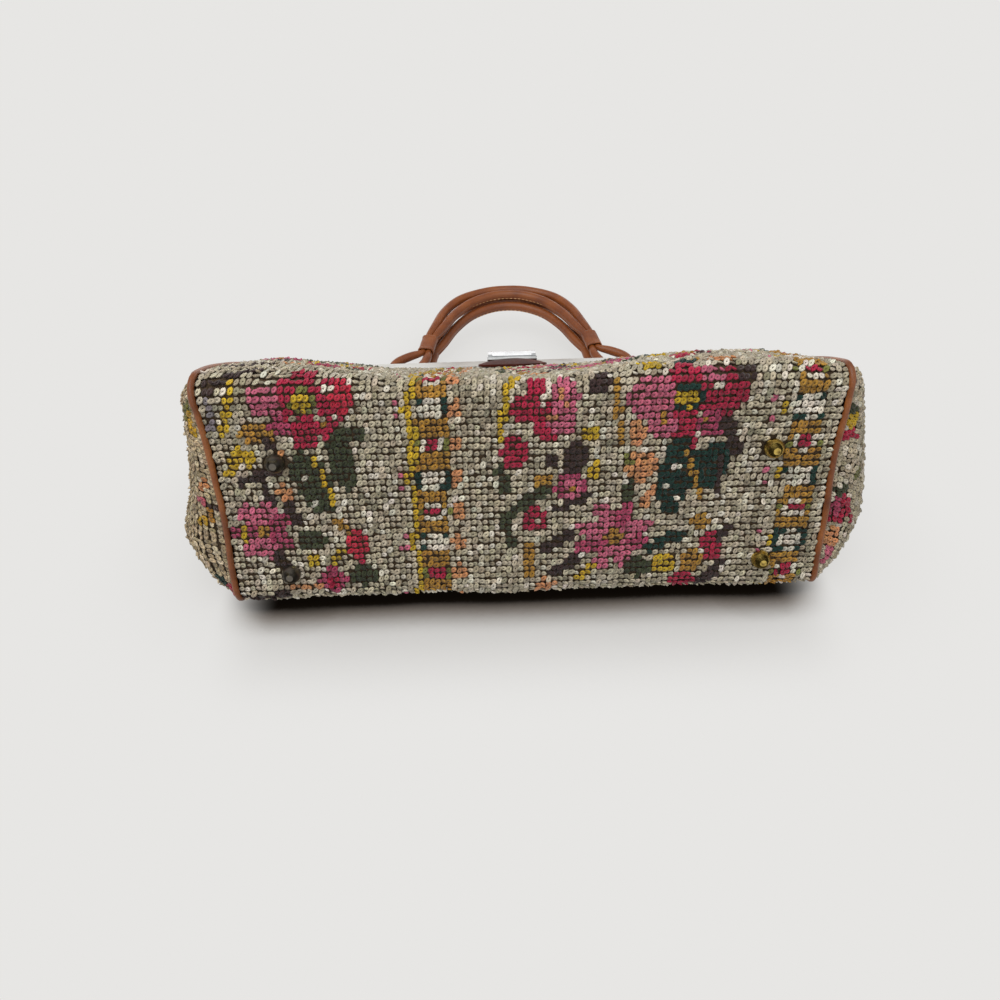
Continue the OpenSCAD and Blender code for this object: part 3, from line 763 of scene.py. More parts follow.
def right_posy() -> list[Spot | Stem]:
    """Flower, leaves and buds left of the second border."""
    return [
        Spot(Yarn.YELLOW, 66, -71, 8, 4.5),
        Spot(Yarn.OCHRE, 92, -79, 15, 6),
        Spot(Yarn.PEACH, 104, -75, 6.5, 5.5),
        Spot(Yarn.BOTTLE, 83, -72, 6, 4),
        Spot(Yarn.PINK, 67, -51, 14, 11),
        Spot(Yarn.CRIMSON, 101, -53, 13.5, 12.5),
        Spot(Yarn.PINK, 97, -62, 6.5, 5.5),
        Spot(Yarn.CRIMSON, 82, -63, 7.5, 8),
        Spot(Yarn.CRIMSON, 84, -34, 8.5, 12.5),
        Spot(Yarn.PINK, 71, -37, 7.5, 7.5),
        Spot(Yarn.MAGENTA, 97, -37, 8, 8),
        Spot(Yarn.CHALK, 99, -58, 2.4, 2.4),
        Spot(Yarn.CHALK, 90, -31, 2.4, 2.4),
        Spot(Yarn.OCHRE, 72, -40, 2.2, 2.2),
        Spot(Yarn.OCHRE, 95, -40, 2.2, 2.2),
        Spot(Yarn.BOTTLE, 84, -51, 8.4, 8),
        Spot(Yarn.YELLOW, 84, -51, 6, 5.4),
        Spot(Yarn.BROWN, 113, -62, 5, 4),
        Stem(Yarn.BROWN, 7.5, ((105, -36), (112, -21))),
        Spot(Yarn.BOTTLE, 98, -13, 9.5, 13, 18),
        Stem(Yarn.BROWN, 5.5, ((104, -15), (103, -1))),
        Spot(Yarn.BOTTLE, 80, -8, 8.5, 23, 6),
        Stem(Yarn.OCHRE, 3.6, ((85, -22), (90, -8), (94, 5))),
        Spot(Yarn.CHALK, 80, -13, 2, 3.2),
        Spot(Yarn.CHALK, 76, -3, 2.2, 2.2),
        Spot(Yarn.CHALK, 82, 6, 2, 3),
        Spot(Yarn.OCHRE, 95, 20, 6, 4.5),
        Stem(Yarn.BOTTLE, 7, ((69, 35), (85, 27))),
        Spot(Yarn.CRIMSON, 103, 34, 6.5, 9.5),
        Stem(Yarn.BROWN, 4.4, ((112, 23), (107, 29))),
        Spot(Yarn.YELLOW, 77, 45, 7, 6),
        Spot(Yarn.OCHRE, 92, 44, 6, 7.5),
        Spot(Yarn.CRIMSON, 87, 58, 8.5, 6.5),
        Stem(Yarn.BROWN, 6, ((107, 47), (99, 58))),
    ]


def end_posy(side: int) -> list[Spot | Stem]:
    """Tufts of colour on an end panel, by Y and run up from the bottom seam.

    Args:
        side: -1 for the left end, 1 for the right.

    Returns:
        The end panel's motifs.
    """
    if side < 0:
        return [
            Spot(Yarn.OLIVE, -50, 6, 8, 5),
            Spot(Yarn.YELLOW, -44, 5, 7, 4),
            Spot(Yarn.PEACH, -10, 5, 3.5, 3.5),
            Spot(Yarn.PINK, 0, 8, 4.5, 2.6),
            Spot(Yarn.BROWN, 4, 2.5, 4, 2.6),
            Spot(Yarn.OCHRE, 8, 4, 4, 3),
            Spot(Yarn.YELLOW, 13, 8, 3, 3.5),
            Spot(Yarn.BOTTLE, 50, 9, 5, 4),
            Spot(Yarn.CRIMSON, 55, 4, 6, 4.5),
            Spot(Yarn.CRIMSON, 6, 108, 8, 9),
            Spot(Yarn.YELLOW, 6, 108, 3, 3),
            Spot(Yarn.MOSS, 14, 90, 5, 10, 30),
        ]
    return [
        Spot(Yarn.MOSS, -41, 4, 4, 5),
        Spot(Yarn.YELLOW, -35, 5, 4.5, 5),
        Spot(Yarn.CRIMSON, -27, 5, 3, 6),
        Spot(Yarn.MOSS, 5, 4, 3.5, 4),
        Spot(Yarn.CRIMSON, 16, 5, 8, 6.5),
        Spot(Yarn.MAGENTA, 14, 3, 5, 3),
        Spot(Yarn.CRIMSON, 25, 14, 2.6, 2.6),
        Spot(Yarn.OLIVE, -3, 15, 3, 3),
        Spot(Yarn.PEACH, 34, 4, 9, 4),
        Spot(Yarn.PINK, 44, 5, 5, 3),
        Spot(Yarn.CRIMSON, -8, 108, 8, 9),
        Spot(Yarn.YELLOW, -8, 108, 3, 3),
        Spot(Yarn.BOTTLE, 2, 90, 5, 10, -30),
    ]


@dataclass
class Weaving:
    """The carpet's design: which yarn each tuft gets."""

    seed: int = 11
    repeat: float = 153.2
    borders: tuple[Border, ...] = (Border(-49, -29.5, True), Border(146, -25.0, False))
    # Tints multiplied into each end panel's colours; the left end's is darker and warmer than the right's.
    left_end_tint: Triple = (0.9, 0.8, 0.66)
    right_end_tint: Triple = (1.0, 0.97, 0.92)
    ground_shares: Triple = (0.62, 0.22, 0.16)
    shade_spread: float = 0.13
    shade_limits: Pair = (0.62, 1.35)
    tint_spread: float = 0.02

    def _dye(self, yarns: Array) -> Array:
        """Give each tuft its yarn's colour with the unevenness of old wool."""
        rng = np.random.default_rng(self.seed)
        colours = np.array([linear(y.value)[:3] for y in Yarn])[yarns]
        shade = np.clip(rng.normal(1.0, self.shade_spread, len(yarns)), *self.shade_limits)
        tint = rng.normal(1.0, self.tint_spread, (len(yarns), 3))
        return np.clip(colours * shade[:, None] * tint, 0, 1)

    def _ground(self, count: int) -> Array:
        """Mix the three ground yarns."""
        rng = np.random.default_rng(self.seed + 1)
        names = list(Yarn)
        mix = [names.index(Yarn.STONE), names.index(Yarn.DRAB), names.index(Yarn.CHALK)]
        return rng.choice(mix, count, p=self.ground_shares)

    def wrap(self, x: Array, s: Array) -> Array:
        """Colours of the tufts on the front, bottom and back.

        Args:
            x: Places along the bag.
            s: Runs round the wrap.

        Returns:
            Linear RGB, one row per tuft.
        """
        yarns = self._ground(len(x))
        names = list(Yarn)

        def cover(where: Array, yarn: Yarn) -> None:
            """Give tufts a yarn."""
            yarns[where] = names.index(yarn)

        local = (s + self.repeat / 2) % self.repeat - self.repeat / 2
        for motif in left_posy() + middle_posy() + right_posy():
            cover(motif.covers(x, local), motif.yarn)
        for border in self.borders:
            border.paint(x, s, cover)
        return self._dye(yarns)

    def end(self, side: int, y: Array, run: Array) -> Array:
        """Colours of the tufts on an end panel, each multiplied by its end's tint, which makes the left end
        darker and warmer.

        Args:
            side: -1 for the left end, 1 for the right.
            y: Places across the end.
            run: Runs up from the bottom seam.

        Returns:
            Linear RGB, one row per tuft.
        """
        yarns = self._ground(len(y))
        for motif in end_posy(side):
            yarns[motif.covers(y, run)] = list(Yarn).index(motif.yarn)
        return self._dye(yarns) * (self.left_end_tint if side < 0 else self.right_end_tint)


@dataclass(frozen=True)
class Finish:
    """A procedural material, named for what the real surface is."""

    name: str

    def start(self) -> tuple[Material, Tree, Node, Socket]:
        """Make the material with its shader and Object coordinates.

        Returns:
            The material, its tree, its shader node and the coordinates' socket.
        """
        material = bpy.data.materials.new(self.name)
        material.use_nodes = True
        tree = material.node_tree
        shader = tree.nodes["Principled BSDF"]
        place = add_node(tree, "ShaderNodeTexCoord").outputs["Object"]
        return material, tree, shader, place

    def material(self) -> Material:
        """Build the material, which each finish does in its own way."""
        raise NotImplementedError


def noise(
    tree: Tree, place: Socket, size_mm: float, detail: float = 3.0, stretch: Triple = (1, 1, 1)
) -> Socket:
    """Noise whose patches are about size_mm across.

    Args:
        tree: The material's tree.
        place: Coordinates in metres.
        size_mm: Size of a patch.
        detail: How many finer layers it has.
        stretch: Scale of the pattern along each axis.

    Returns:
        The noise, about 0.3 to 0.7.
    """
    mapped = add_node(tree, "ShaderNodeMapping", {"Scale": stretch}, {"Vector": place})
    return add_node(
        tree, "ShaderNodeTexNoise", {"Scale": 1 / (size_mm * MM), "Detail": detail},
        {"Vector": mapped.outputs["Vector"]}).outputs["Fac"]


def ramp(tree: Tree, source: Socket, stops: list[tuple[float, str | Row]]) -> Socket:
    """Colours along a value.

    Args:
        tree: The material's tree.
        source: The value.
        stops: Places from 0 to 1 and their colours, in hex or as linear RGBA.

    Returns:
        The colour's socket.
    """
    node = add_node(tree, "ShaderNodeValToRGB", links={"Fac": source})
    band = node.color_ramp
    stops = [(place, linear(colour) if isinstance(colour, str) else colour) for place, colour in stops]
    for element, (place, colour) in zip(band.elements, (stops[0], stops[-1])):
        element.position, element.color = place, colour
    for place, colour in stops[1:-1]:
        band.elements.new(place).color = colour
    return node.outputs["Color"]


def span(tree: Tree, source: Socket, low: float, high: float) -> Socket:
    """Spread noise from 0.3 to 0.7 over a range.

    Args:
        tree: The material's tree.
        source: The noise.
        low: The least value.
        high: The greatest value.

    Returns:
        The spread value.
    """
    return add_node(tree, "ShaderNodeMapRange", {1: 0.3, 2: 0.7, 3: low, 4: high}, {0: source}).outputs[0]


def shaded(tree: Tree, colour: Socket, amount: Socket) -> Socket:
    """Lighten or darken a colour.

    Args:
        tree: The material's tree.
        colour: The colour.
        amount: What it is multiplied by.

    Returns:
        The shaded colour.
    """
    node = add_node(tree, "ShaderNodeVectorMath", {"operation": "SCALE"}, {0: colour, "Scale": amount})
    return node.outputs[0]


def bump(tree: Tree, shader: Node, height: Socket, depth_mm: float, strength: float = 1.0) -> None:
    """Give a shader relief.

    Args:
        tree: The material's tree.
        shader: The shader node.
        height: The relief's height from 0 to 1.
        depth_mm: How deep the relief is.
        strength: How strongly it shows.
    """
    settings = {"Strength": strength, "Distance": depth_mm * MM}
    node = add_node(tree, "ShaderNodeBump", settings, {"Height": height})
    tree.links.new(node.outputs["Normal"], shader.inputs["Normal"])


def feed(tree: Tree, shader: Node, inputs: dict[str, float | Socket]) -> None:
    """Set or link a shader's inputs.

    Args:
        tree: The material's tree.
        shader: The shader node.
        inputs: A value or a socket for each input's name.
    """
    for name, source in inputs.items():
        if isinstance(source, Socket):
            tree.links.new(source, shader.inputs[name])
        else:
            shader.inputs[name].default_value = source


@dataclass(frozen=True)
class LoopYarn(Finish):
    """Two-ply wool loops: matt, a little fuzzy, darker in the ply's grooves."""

    fibre_mm: float = 0.8
    sheen: float = 0.12
    ply_shades: Pair = (0.74, 1.14)

    def material(self) -> Material:
        """Build the material."""
        material, tree, shader, place = self.start()
        dye = add_node(tree, "ShaderNodeVertexColor", {"layer_name": "yarn"}).outputs["Color"]
        ply = noise(tree, place, self.fibre_mm, 2.0)
        feed(tree, shader, {
            "Base Color": shaded(tree, dye, span(tree, ply, *self.ply_shades)), "Roughness": 0.88,
            "Specular IOR Level": 0.25, "Sheen Weight": self.sheen, "Sheen Roughness": 0.5})
        bump(tree, shader, ply, 0.25, 0.6)
        return material


@dataclass(frozen=True)
class JuteBacking(Finish):
    """Jute ground cloth: dull and coarse between the tufts. Its brown is the cloth's own colour, darkened
    with painted shade so the gaps between the tufts read dark.
    """

    dark: str = "#33291f"
    pale: str = "#5a4a38"
    thread_mm: float = 1.2

    def material(self) -> Material:
        """Build the material."""
        material, tree, shader, place = self.start()
        threads = noise(tree, place, self.thread_mm, 2.0)
        # Painted shade: both ramp colours are darker than the cloth, so the backing seen between the tufts
        # stands for their shadowed gaps.
        tone = ramp(tree, threads, [(0.3, self.dark), (0.75, self.pale)])
        feed(tree, shader, {"Base Color": tone, "Roughness": 0.95, "Specular IOR Level": 0.15})
        bump(tree, shader, threads, 0.5, 0.8)
        return material


@dataclass(frozen=True)
class Leather(Finish):
    """Dyed cowhide: fine grain, paler where it is rubbed, darker in its creases."""

    deep: str
    mid: str
    rubbed: str
    roughness: float
    coat: float
    grain_mm: float = 0.9
    crease_mm: float = 7.0
    specular: float = 0.5
    grain_shades: Pair = (0.84, 1.1)

    def material(self) -> Material:
        """Build the material."""
        material, tree, shader, place = self.start()
        patches = noise(tree, place, self.crease_mm * 2.4, 4.0)
        grain = noise(tree, place, self.grain_mm, 3.0)
        crease = noise(tree, place, self.crease_mm, 5.0)
        tone = ramp(tree, patches, [(0.28, self.deep), (0.5, self.mid), (0.74, self.rubbed)])
        feed(tree, shader, {
            "Base Color": shaded(tree, tone, span(tree, grain, *self.grain_shades)),
            "Roughness": span(tree, grain, self.roughness - 0.07, self.roughness + 0.1),
            "Specular IOR Level": self.specular, "Coat Weight": self.coat, "Coat Roughness": 0.22})
        sums = {"operation": "MULTIPLY_ADD", 1: 0.35}
        relief = add_node(tree, "ShaderNodeMath", sums, {0: grain, 2: crease})
        bump(tree, shader, relief.outputs[0], 0.5, 0.7)
        return material


@dataclass(frozen=True)
class PlatedMetal(Finish):
    """Plated sheet metal: bright, drawn lengthwise, dulled in patches by handling."""

    bright: str
    dull: str
    roughness: float
    patch_mm: float = 16.0

    def material(self) -> Material:
        """Build the material."""
        material, tree, shader, place = self.start()
        lines = noise(tree, place, 0.8, 2.0, (0.03, 1, 1))
        patches = noise(tree, place, self.patch_mm, 4.0)
        tone = ramp(tree, patches, [(0.3, self.dull), (0.55, self.bright)])
        sums = {"operation": "MULTIPLY_ADD", 1: 0.4}
        worn = add_node(tree, "ShaderNodeMath", sums, {0: patches, 2: lines}).outputs[0]
        rough = span(tree, worn, self.roughness, self.roughness * 1.7)
        feed(tree, shader, {"Base Color": tone, "Metallic": 1.0, "Roughness": rough})
        bump(tree, shader, lines, 0.03, 0.25)
        return material


@dataclass(frozen=True)
class TarnishedBrass(Finish):
    """Stamped brass: yellow where it is rubbed, brown and dull where it has tarnished."""

    tarnish: float
    dull: str
    rubbed: str
    spot_mm: float = 3.0

    def material(self) -> Material:
        """Build the material."""
        material, tree, shader, place = self.start()
        spots = noise(tree, place, self.spot_mm, 4.0)
        middle = 0.3 + 0.36 * self.tarnish
        tone = ramp(tree, spots, [(middle - 0.1, self.dull), (middle + 0.12, self.rubbed)])
        rough = span(tree, spots, 0.2 + 0.3 * self.tarnish, 0.16 + 0.08 * self.tarnish)
        feed(tree, shader, {"Base Color": tone, "Metallic": 1.0, "Roughness": rough})
        bump(tree, shader, spots, 0.08, 0.4)
        return material


@dataclass(frozen=True)
class LiningCloth(Finish):
    """Plain cotton lining: crossed threads, drawn coarse so that they show, and rubbed patches."""

    colour: str = "#9a8a6c"
    rubbed: str = "#857556"
    patch_mm: float = 25.0
    thread_mm: float = 1.4

    def material(self) -> Material:
        """Build the material."""
        material, tree, shader, place = self.start()
        scale = math.pi / (self.thread_mm * MM) / 10
        threads = [
            add_node(tree, "ShaderNodeTexWave", {"bands_direction": axis, "Scale": scale}, {"Vector": place})
            for axis in ("X", "Z")]
        weave = add_node(tree, "ShaderNodeMath", {"operation": "MULTIPLY"},
                         {0: threads[0].outputs["Fac"], 1: threads[1].outputs["Fac"]}).outputs[0]
        patches = noise(tree, place, self.patch_mm, 4.0)
        tone = ramp(tree, patches, [(0.3, self.rubbed), (0.7, self.colour)])
        shade = add_node(tree, "ShaderNodeMapRange", {3: 0.82, 4: 1.06}, {0: weave}).outputs[0]
        feed(tree, shader, {"Base Color": shaded(tree, tone, shade), "Roughness": 0.85})
        bump(tree, shader, weave, 0.2, 0.5)
        return material


@dataclass(frozen=True)
class Fibreboard(Finish):
    """Pressed fibreboard: brown, flecked and dull."""

    colour: str = "#7c6a50"
    fleck: str = "#5d4c36"
    fleck_mm: float = 2.5

    def material(self) -> Material:
        """Build the material."""
        material, tree, shader, place = self.start()
        flecks = noise(tree, place, self.fleck_mm, 5.0)
        tone = ramp(tree, flecks, [(0.35, self.fleck), (0.65, self.colour)])
        feed(tree, shader, {"Base Color": tone, "Roughness": 0.9})
        bump(tree, shader, flecks, 0.2, 0.5)
        return material


@dataclass(frozen=True)
class PaperGround(Finish):
    """Seamless pale paper, seen from one side only, with the bag's soft contact shadow."""

    colour: str = "#e7e6e4"
    shadow: str = "#8f8a84"
    contact: str = "#1d1813"
    fade: str = "#989089"
    reach: float = 0.09
    touch: float = 0.03
    end_fade: Pair = (0.142, 0.178)
    top_fade: Pair = (0.02, 0.09)
    rest: float = 0.25

    def material(self) -> Material:
        """Build the material, whose shadow is dark only along the bag's bottom edge."""
        material, tree, shader, place = self.start()
        tree.nodes.remove(shader)
        near, close = (
            add_node(tree, "ShaderNodeAmbientOcclusion", {"samples": 24, "Distance": reach}).outputs["AO"]
            for reach in (self.reach, self.touch))
        wide = ramp(tree, near, [(0.35, self.shadow), (0.97, self.colour)])
        white = (1, 1, 1, 1)
        tight = ramp(tree, close, [(0.56, self.contact), (0.72, self.fade), (0.95, white)])
        split = add_node(tree, "ShaderNodeSeparateXYZ", links={0: place}).outputs
        off = add_node(tree, "ShaderNodeMath", {"operation": "ABSOLUTE"}, {0: split["X"]}).outputs[0]
        ends, tops = (
            add_node(tree, "ShaderNodeMapRange", {
                "interpolation_type": "SMOOTHSTEP", 1: fade[0], 2: fade[1], 3: 1.0, 4: 0.0}, {0: way})
            for fade, way in ((self.end_fade, off), (self.top_fade, split["Z"])))
        mask = add_node(tree, "ShaderNodeMath", {"operation": "MULTIPLY"},
                        {0: ends.outputs[0], 1: tops.outputs[0]}).outputs[0]
        weak = add_node(tree, "ShaderNodeMapRange", {3: self.rest, 4: 1.0}, {0: mask}).outputs[0]
        wide = add_node(tree, "ShaderNodeMix", {"data_type": "RGBA", 6: linear(self.colour)},
                        {0: weak, 7: wide}).outputs[2]
        tight = add_node(tree, "ShaderNodeMix", {"data_type": "RGBA", 6: white},
                         {0: mask, 7: tight}).outputs[2]
        tone = add_node(tree, "ShaderNodeVectorMath", {"operation": "MULTIPLY"}, {0: wide, 1: tight})
        glow = add_node(tree, "ShaderNodeEmission", links={"Color": tone.outputs[0]}).outputs[0]
        clear = add_node(tree, "ShaderNodeBsdfTransparent").outputs[0]
        back = add_node(tree, "ShaderNodeNewGeometry").outputs["Backfacing"]
        mixed = add_node(tree, "ShaderNodeMixShader", links={0: back, 1: glow, 2: clear})
        tree.links.new(mixed.outputs[0], tree.nodes["Material Output"].inputs["Surface"])
        return material


def made(finish: Finish) -> Any:
    """A field that holds the finish's material, built with the others."""
    return field(default_factory=finish.material)


@dataclass
class Finishes:
    """Every material of the bag."""

    yarn: Material = made(LoopYarn("wool_loop_pile"))
    jute: Material = made(JuteBacking("jute_backing"))
    lining: Material = made(LiningCloth("cotton_lining"))
    handle: Material = made(Leather("rolled_handle_leather", "#6c340f", "#7e4114", "#8b4c1b", 0.42, 0.06))
    piping: Material = made(Leather("tan_piping_leather", "#5b2c0f", "#7a4219", "#935724", 0.4, 0.12))
    pad: Material = made(Leather(
        "polished_pad_leather", "#2c0f09", "#40170d", "#552213", 0.5, 0.0, specular=0.12))
    thread: Material = made(Leather(
        "waxed_linen_thread", "#b98652", "#cf9f6b", "#dcb384", 0.5, 0.0, 0.4, 2.0))
    nickel: Material = made(PlatedMetal("nickel_plated_steel", "#c4c2bc", "#b2afa8", 0.2))
    chrome: Material = made(PlatedMetal("chrome_plate", "#dcdedf", "#bfc1c2", 0.07))
    brass: Material = made(TarnishedBrass("rubbed_brass", 0.3, "#6e5a2e", "#d2b663"))
    dark_brass: Material = made(TarnishedBrass("tarnished_brass", 0.95, "#67625a", "#9c8f6c"))
    board: Material = made(Fibreboard("pressed_fibreboard"))


def dress(piece: Piece, material: Material) -> Piece:
    """Give a piece its material and slot, and log it.

    Args:
        piece: The object.
        material: Its finish.

    Returns:
        The same object.
    """
    piece.data.materials.clear()
    piece.data.materials.append(material)
    LOG.info("%s: %d faces", piece.name, len(piece.data.polygons))
    return piece


class Hold(Enum):
    """How a soft piece is meant to move with the bag; only pieces that ride on the bag are tied to it, and
    none is bent.
    """

    BAG = "rides on the bag"
    FRONT = "bends with the front frame from below the hinge up to the neck"
    END_FRONT = "follows the front frame along an end panel's front edge"
    LINING_END = "follows the front frame along the front edge of the lining's end"

    def fix(self, piece: Piece) -> None:
        """Tie a piece that rides on the bag to the bag's body; the other holds only bake the piece's place
        into its mesh, tying it to no body.
        """
        if self is Hold.BAG:
            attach(piece, "bag")
        elif self is Hold.FRONT:
            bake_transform(piece)
        elif self is Hold.END_FRONT:
            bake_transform(piece)
        else:
            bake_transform(piece)


@dataclass
class LoopPile:
    """Tufts of the carpet: one yarn loop modelled once and copied over a surface."""

    across: float = 3.1
    along: float = 3.65
    loop_r: float = 0.93
    yarn_r: float = 0.78
    yarn_sides: int = 3
    stretch: float = 1.5
    steps: int = 7
    tilt_deg: float = 66
    slant: float = -0.72
    sink: float = 1.15
    seed: int = 5
    turn_spread: float = 0.3
    flip_share: float = 0.25
    nod_spread: float = 0.2
    size_limits: Pair = (0.9, 1.12)
    place_spread: float = 0.24
    lift_spread: float = 0.2
    merge: float = 0.001
    points: Array = field(init=False)
    faces: Array = field(init=False)

    def __post_init__(self) -> None:
        """Model the loop: a round of yarn spun into a ring, drawn long and tipped over."""
        deselect()
        bpy.ops.mesh.primitive_circle_add(
            vertices=self.yarn_sides, radius=self.yarn_r, location=(self.loop_r, 0, 0),
            rotation=(math.pi / 2, 0, 0), enter_editmode=True)
        bpy.ops.mesh.select_all(action="SELECT")
        bpy.ops.mesh.spin(steps=self.steps, angle=2 * math.pi, center=(0, 0, 0), axis=(0, 0, 1))
        bpy.ops.mesh.select_all(action="SELECT")
        bpy.ops.mesh.remove_doubles(threshold=self.merge)
        bpy.ops.mesh.normals_make_consistent(inside=False)
        bpy.ops.object.mode_set(mode="OBJECT")
        loop = bpy.context.object
        world = np.array(loop.matrix_world)
        ring = np.array([v.co for v in loop.data.vertices]) @ world[:3, :3].T + world[:3, 3]
        self.faces = np.array([list(p.vertices) for p in loop.data.polygons])
        bpy.data.objects.remove(loop)
        flat = ring * [1, self.stretch, 1]
        t = math.radians(self.tilt_deg)
        self.points = np.stack([
            flat[:, 0], flat[:, 1] * math.sin(t) + flat[:, 2] * math.cos(t),
            flat[:, 1] * math.cos(t) - flat[:, 2] * math.sin(t)], -1)

    def cover(self, name: str, places: Array, normals: Array, side: Array, dye: Array, seed: int) -> Piece:
        """Copy the loop to every place of a surface.

        Args:
            name: The piece's name.
            places: Middles of the loops, in millimetres.
            normals: Outward normals there.
            side: Directions along the rows there.
            dye: Linear colours of the loops.
            seed: Seed of the loops' unevenness.

        Returns:
            The pile, with its yarn colours as an attribute.
        """
        rng = np.random.default_rng(self.seed + seed)
        count, size = len(places), len(self.points)
        third = np.cross(normals, side)
        turn = rng.normal(self.slant, self.turn_spread, count)
        turn += np.where(rng.random(count) < self.flip_share, math.pi, 0)
        c, n = np.cos(turn)[:, None], np.sin(turn)[:, None]
        row, column = side * c + third * n, third * c - side * n
        nod = rng.normal(0, self.nod_spread, (count, 1))
        out = normals * np.cos(nod) + column * np.sin(nod)
        column = column * np.cos(nod) - normals * np.sin(nod)
        grow = rng.uniform(*self.size_limits, (count, 1))
        shift = rng.normal(0, self.place_spread, (count, 2))
        centre = places + side * shift[:, :1] + third * shift[:, 1:]
        centre = centre + normals * rng.normal(0, self.lift_spread, (count, 1))
        basis = np.stack([row * grow, column * grow, out * grow], 1)
        points = centre[:, None] + np.einsum("kj,njc->nkc", self.points, basis)
        faces = self.faces[None] + (np.arange(count) * size)[:, None, None]
        piece = mesh_piece(name, points.reshape(-1, 3), faces.reshape(-1, 4))
        layer = piece.data.color_attributes.new("yarn", "FLOAT_COLOR", "POINT")
        colours = np.ones((count, size, 4), np.float32)
        colours[:, :, :3] = dye[:, None]
        layer.data.foreach_set("color", colours.ravel())
        return piece


@dataclass
class CarpetBody:
    """Carpet panel that makes the front wall, the bottom and the back wall, and the two end panels."""

    form: BagForm
    pile: LoopPile
    end_pile: LoopPile
    weaving: Weaving
    finishes: Finishes
    backing_depth: float = 2.3
    backing_t: float = 1.8
    front_run: float = 66.0
    foot_clear: float = 5.4
    edge_clear: float = 1.4
    top_clear: Pair = (2.2, 2.0)
    wrap_columns: int = 72
    wrap_step: float = 4
    wrap_min_rows: int = 24
    end_faces: tuple[int, int] = (20, 40)
    end_cut_w: float = 70
    end_cut_len: float = 190
    end_seed: int = 20
    spine_u: float = -0.3
    samples: int = 400
    spine_ends: Pair = (0.003, 0.997)
    row_reach: float = 0.995
    row_clear: Pair = (0.4, 0.6)
    feet: tuple[Pair, ...] = (
        (-130.5, -22.5), (130.5, -22.5), (-130.5, 43.5), (130.5, 43.5))

    def build(self) -> None:
        """Build every carpet piece."""
        top = self.form.half_wrap
        front = self._backing("carpet_front_backing", -top, -self.front_run, Hold.FRONT)
        rest = self._backing("carpet_base_backing", -self.front_run, top, Hold.BAG)
        self._piles(front, rest)
        for side, word in SIDES:
            self._end(side, word)

    def _backing(self, name: str, start: float, stop: float, hold: Hold) -> Piece:
        """Make a stretch of the wrap's ground cloth.

        Args:
            name: The piece's name.
            start: Run where the stretch starts.
            stop: Run where it stops.
            hold: How it moves.

        Returns:
            The ground cloth.
        """
        form = self.form

        def shape(u: Array, v: Array) -> Array:
            """Lay the cloth on the wrap."""
            s = start + (stop - start) * (v + 1) / 2
            return form.wrap(u * form.edge_x(s), s, self.backing_depth)[0]

        rows = max(self.wrap_min_rows, int((stop - start) / self.wrap_step))
        piece = shaped_panel(name, self.wrap_columns, rows, shape, flip=True)
        finish_modifier(piece, "SOLIDIFY", thickness=self.backing_t * MM, offset=-1.0)
        smooth(piece)
        dress(piece, self.finishes.jute)
        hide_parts("carpet_panel")
        hold.fix(piece)
        return piece

    def _piles(self, front: Piece, rest: Piece) -> None:
        """Cover the wrap's ground cloth with loops.

        Args:
            front: Ground cloth of the front wall.
            rest: Ground cloth of the bottom and the back wall.
        """
        form, pile = self.form, self.pile
        rows = np.arange(-form.half_wrap + self.top_clear[0], form.half_wrap - self.top_clear[1], pile.along)
        reach = form.edge_x(rows) - self.edge_clear
        counts = np.floor(reach / pile.across).astype(int)
        x = np.concatenate([np.linspace(-r, r, 2 * n + 1) for r, n in zip(reach, counts)])
        s = np.repeat(rows, 2 * counts + 1)
        clear = np.min([np.hypot(x - fx, s - fy) for fx, fy in self.feet], axis=0) > self.foot_clear
        s, x = s[clear], x[clear]
        places, normals = form.wrap(x, s, pile.sink)
        dye = self.weaving.wrap(x, s)
        along_x = np.tile([1.0, 0.0, 0.0], (len(x), 1))
        cuts = (
            ("carpet_front_pile_left", (s < -self.front_run) & (x < 0), Hold.FRONT),
            ("carpet_front_pile_right", (s < -self.front_run) & (x >= 0), Hold.FRONT),
            ("carpet_base_pile", (s >= -self.front_run) & (s <= self.front_run), Hold.BAG),
            ("carpet_back_pile_left", (s > self.front_run) & (x < 0), Hold.BAG),
            ("carpet_back_pile_right", (s > self.front_run) & (x >= 0), Hold.BAG),
        )
        for number, (name, part, hold) in enumerate(cuts):
            piece = pile.cover(name, places[part], normals[part], along_x[part], dye[part], number)
            dress(piece, self.finishes.yarn)
            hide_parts("carpet_panel")
            hold.fix(piece)

    def _end(self, side: int, word: str) -> None:
        """Make an end panel in a front and a back half.

        Args:
            side: -1 for the left end, 1 for the right.
            word: The end's name.
        """
        form, node = self.form, f"gusset_{word}"
        for half, low, hold in (("front", -1.0, Hold.END_FRONT), ("back", 0.0, Hold.BAG)):
            def shape(u: Array, v: Array, low: float = low) -> Array:
                """Lay the ground cloth on the belly."""
                return form.end_points(side, low + (u + 1) / 2, (v + 1) / 2, self.backing_depth)[0]

            piece = shaped_panel(f"{node}_{half}_backing", *self.end_faces, shape, flip=side < 0)
            finish_modifier(piece, "SOLIDIFY", thickness=self.backing_t * MM, offset=-1.0)
            smooth(piece)
            dress(piece, self.finishes.jute)
            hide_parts(node)
            hold.fix(piece)
        u, v, run = self._end_grid(side)
        places, normals, across = form.end_points(side, u, v, self.end_pile.sink)
        dye = self.weaving.end(side, places[:, 1], run)
        for half, part, hold in (("front", u < 0, Hold.END_FRONT), ("back", u >= 0, Hold.BAG)):
            piece = self.end_pile.cover(
                f"{node}_{half}_pile", places[part], normals[part], across[part], dye[part],
                self.end_seed + side)
            dress(piece, self.finishes.yarn)
            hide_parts(node)
            hold.fix(piece)

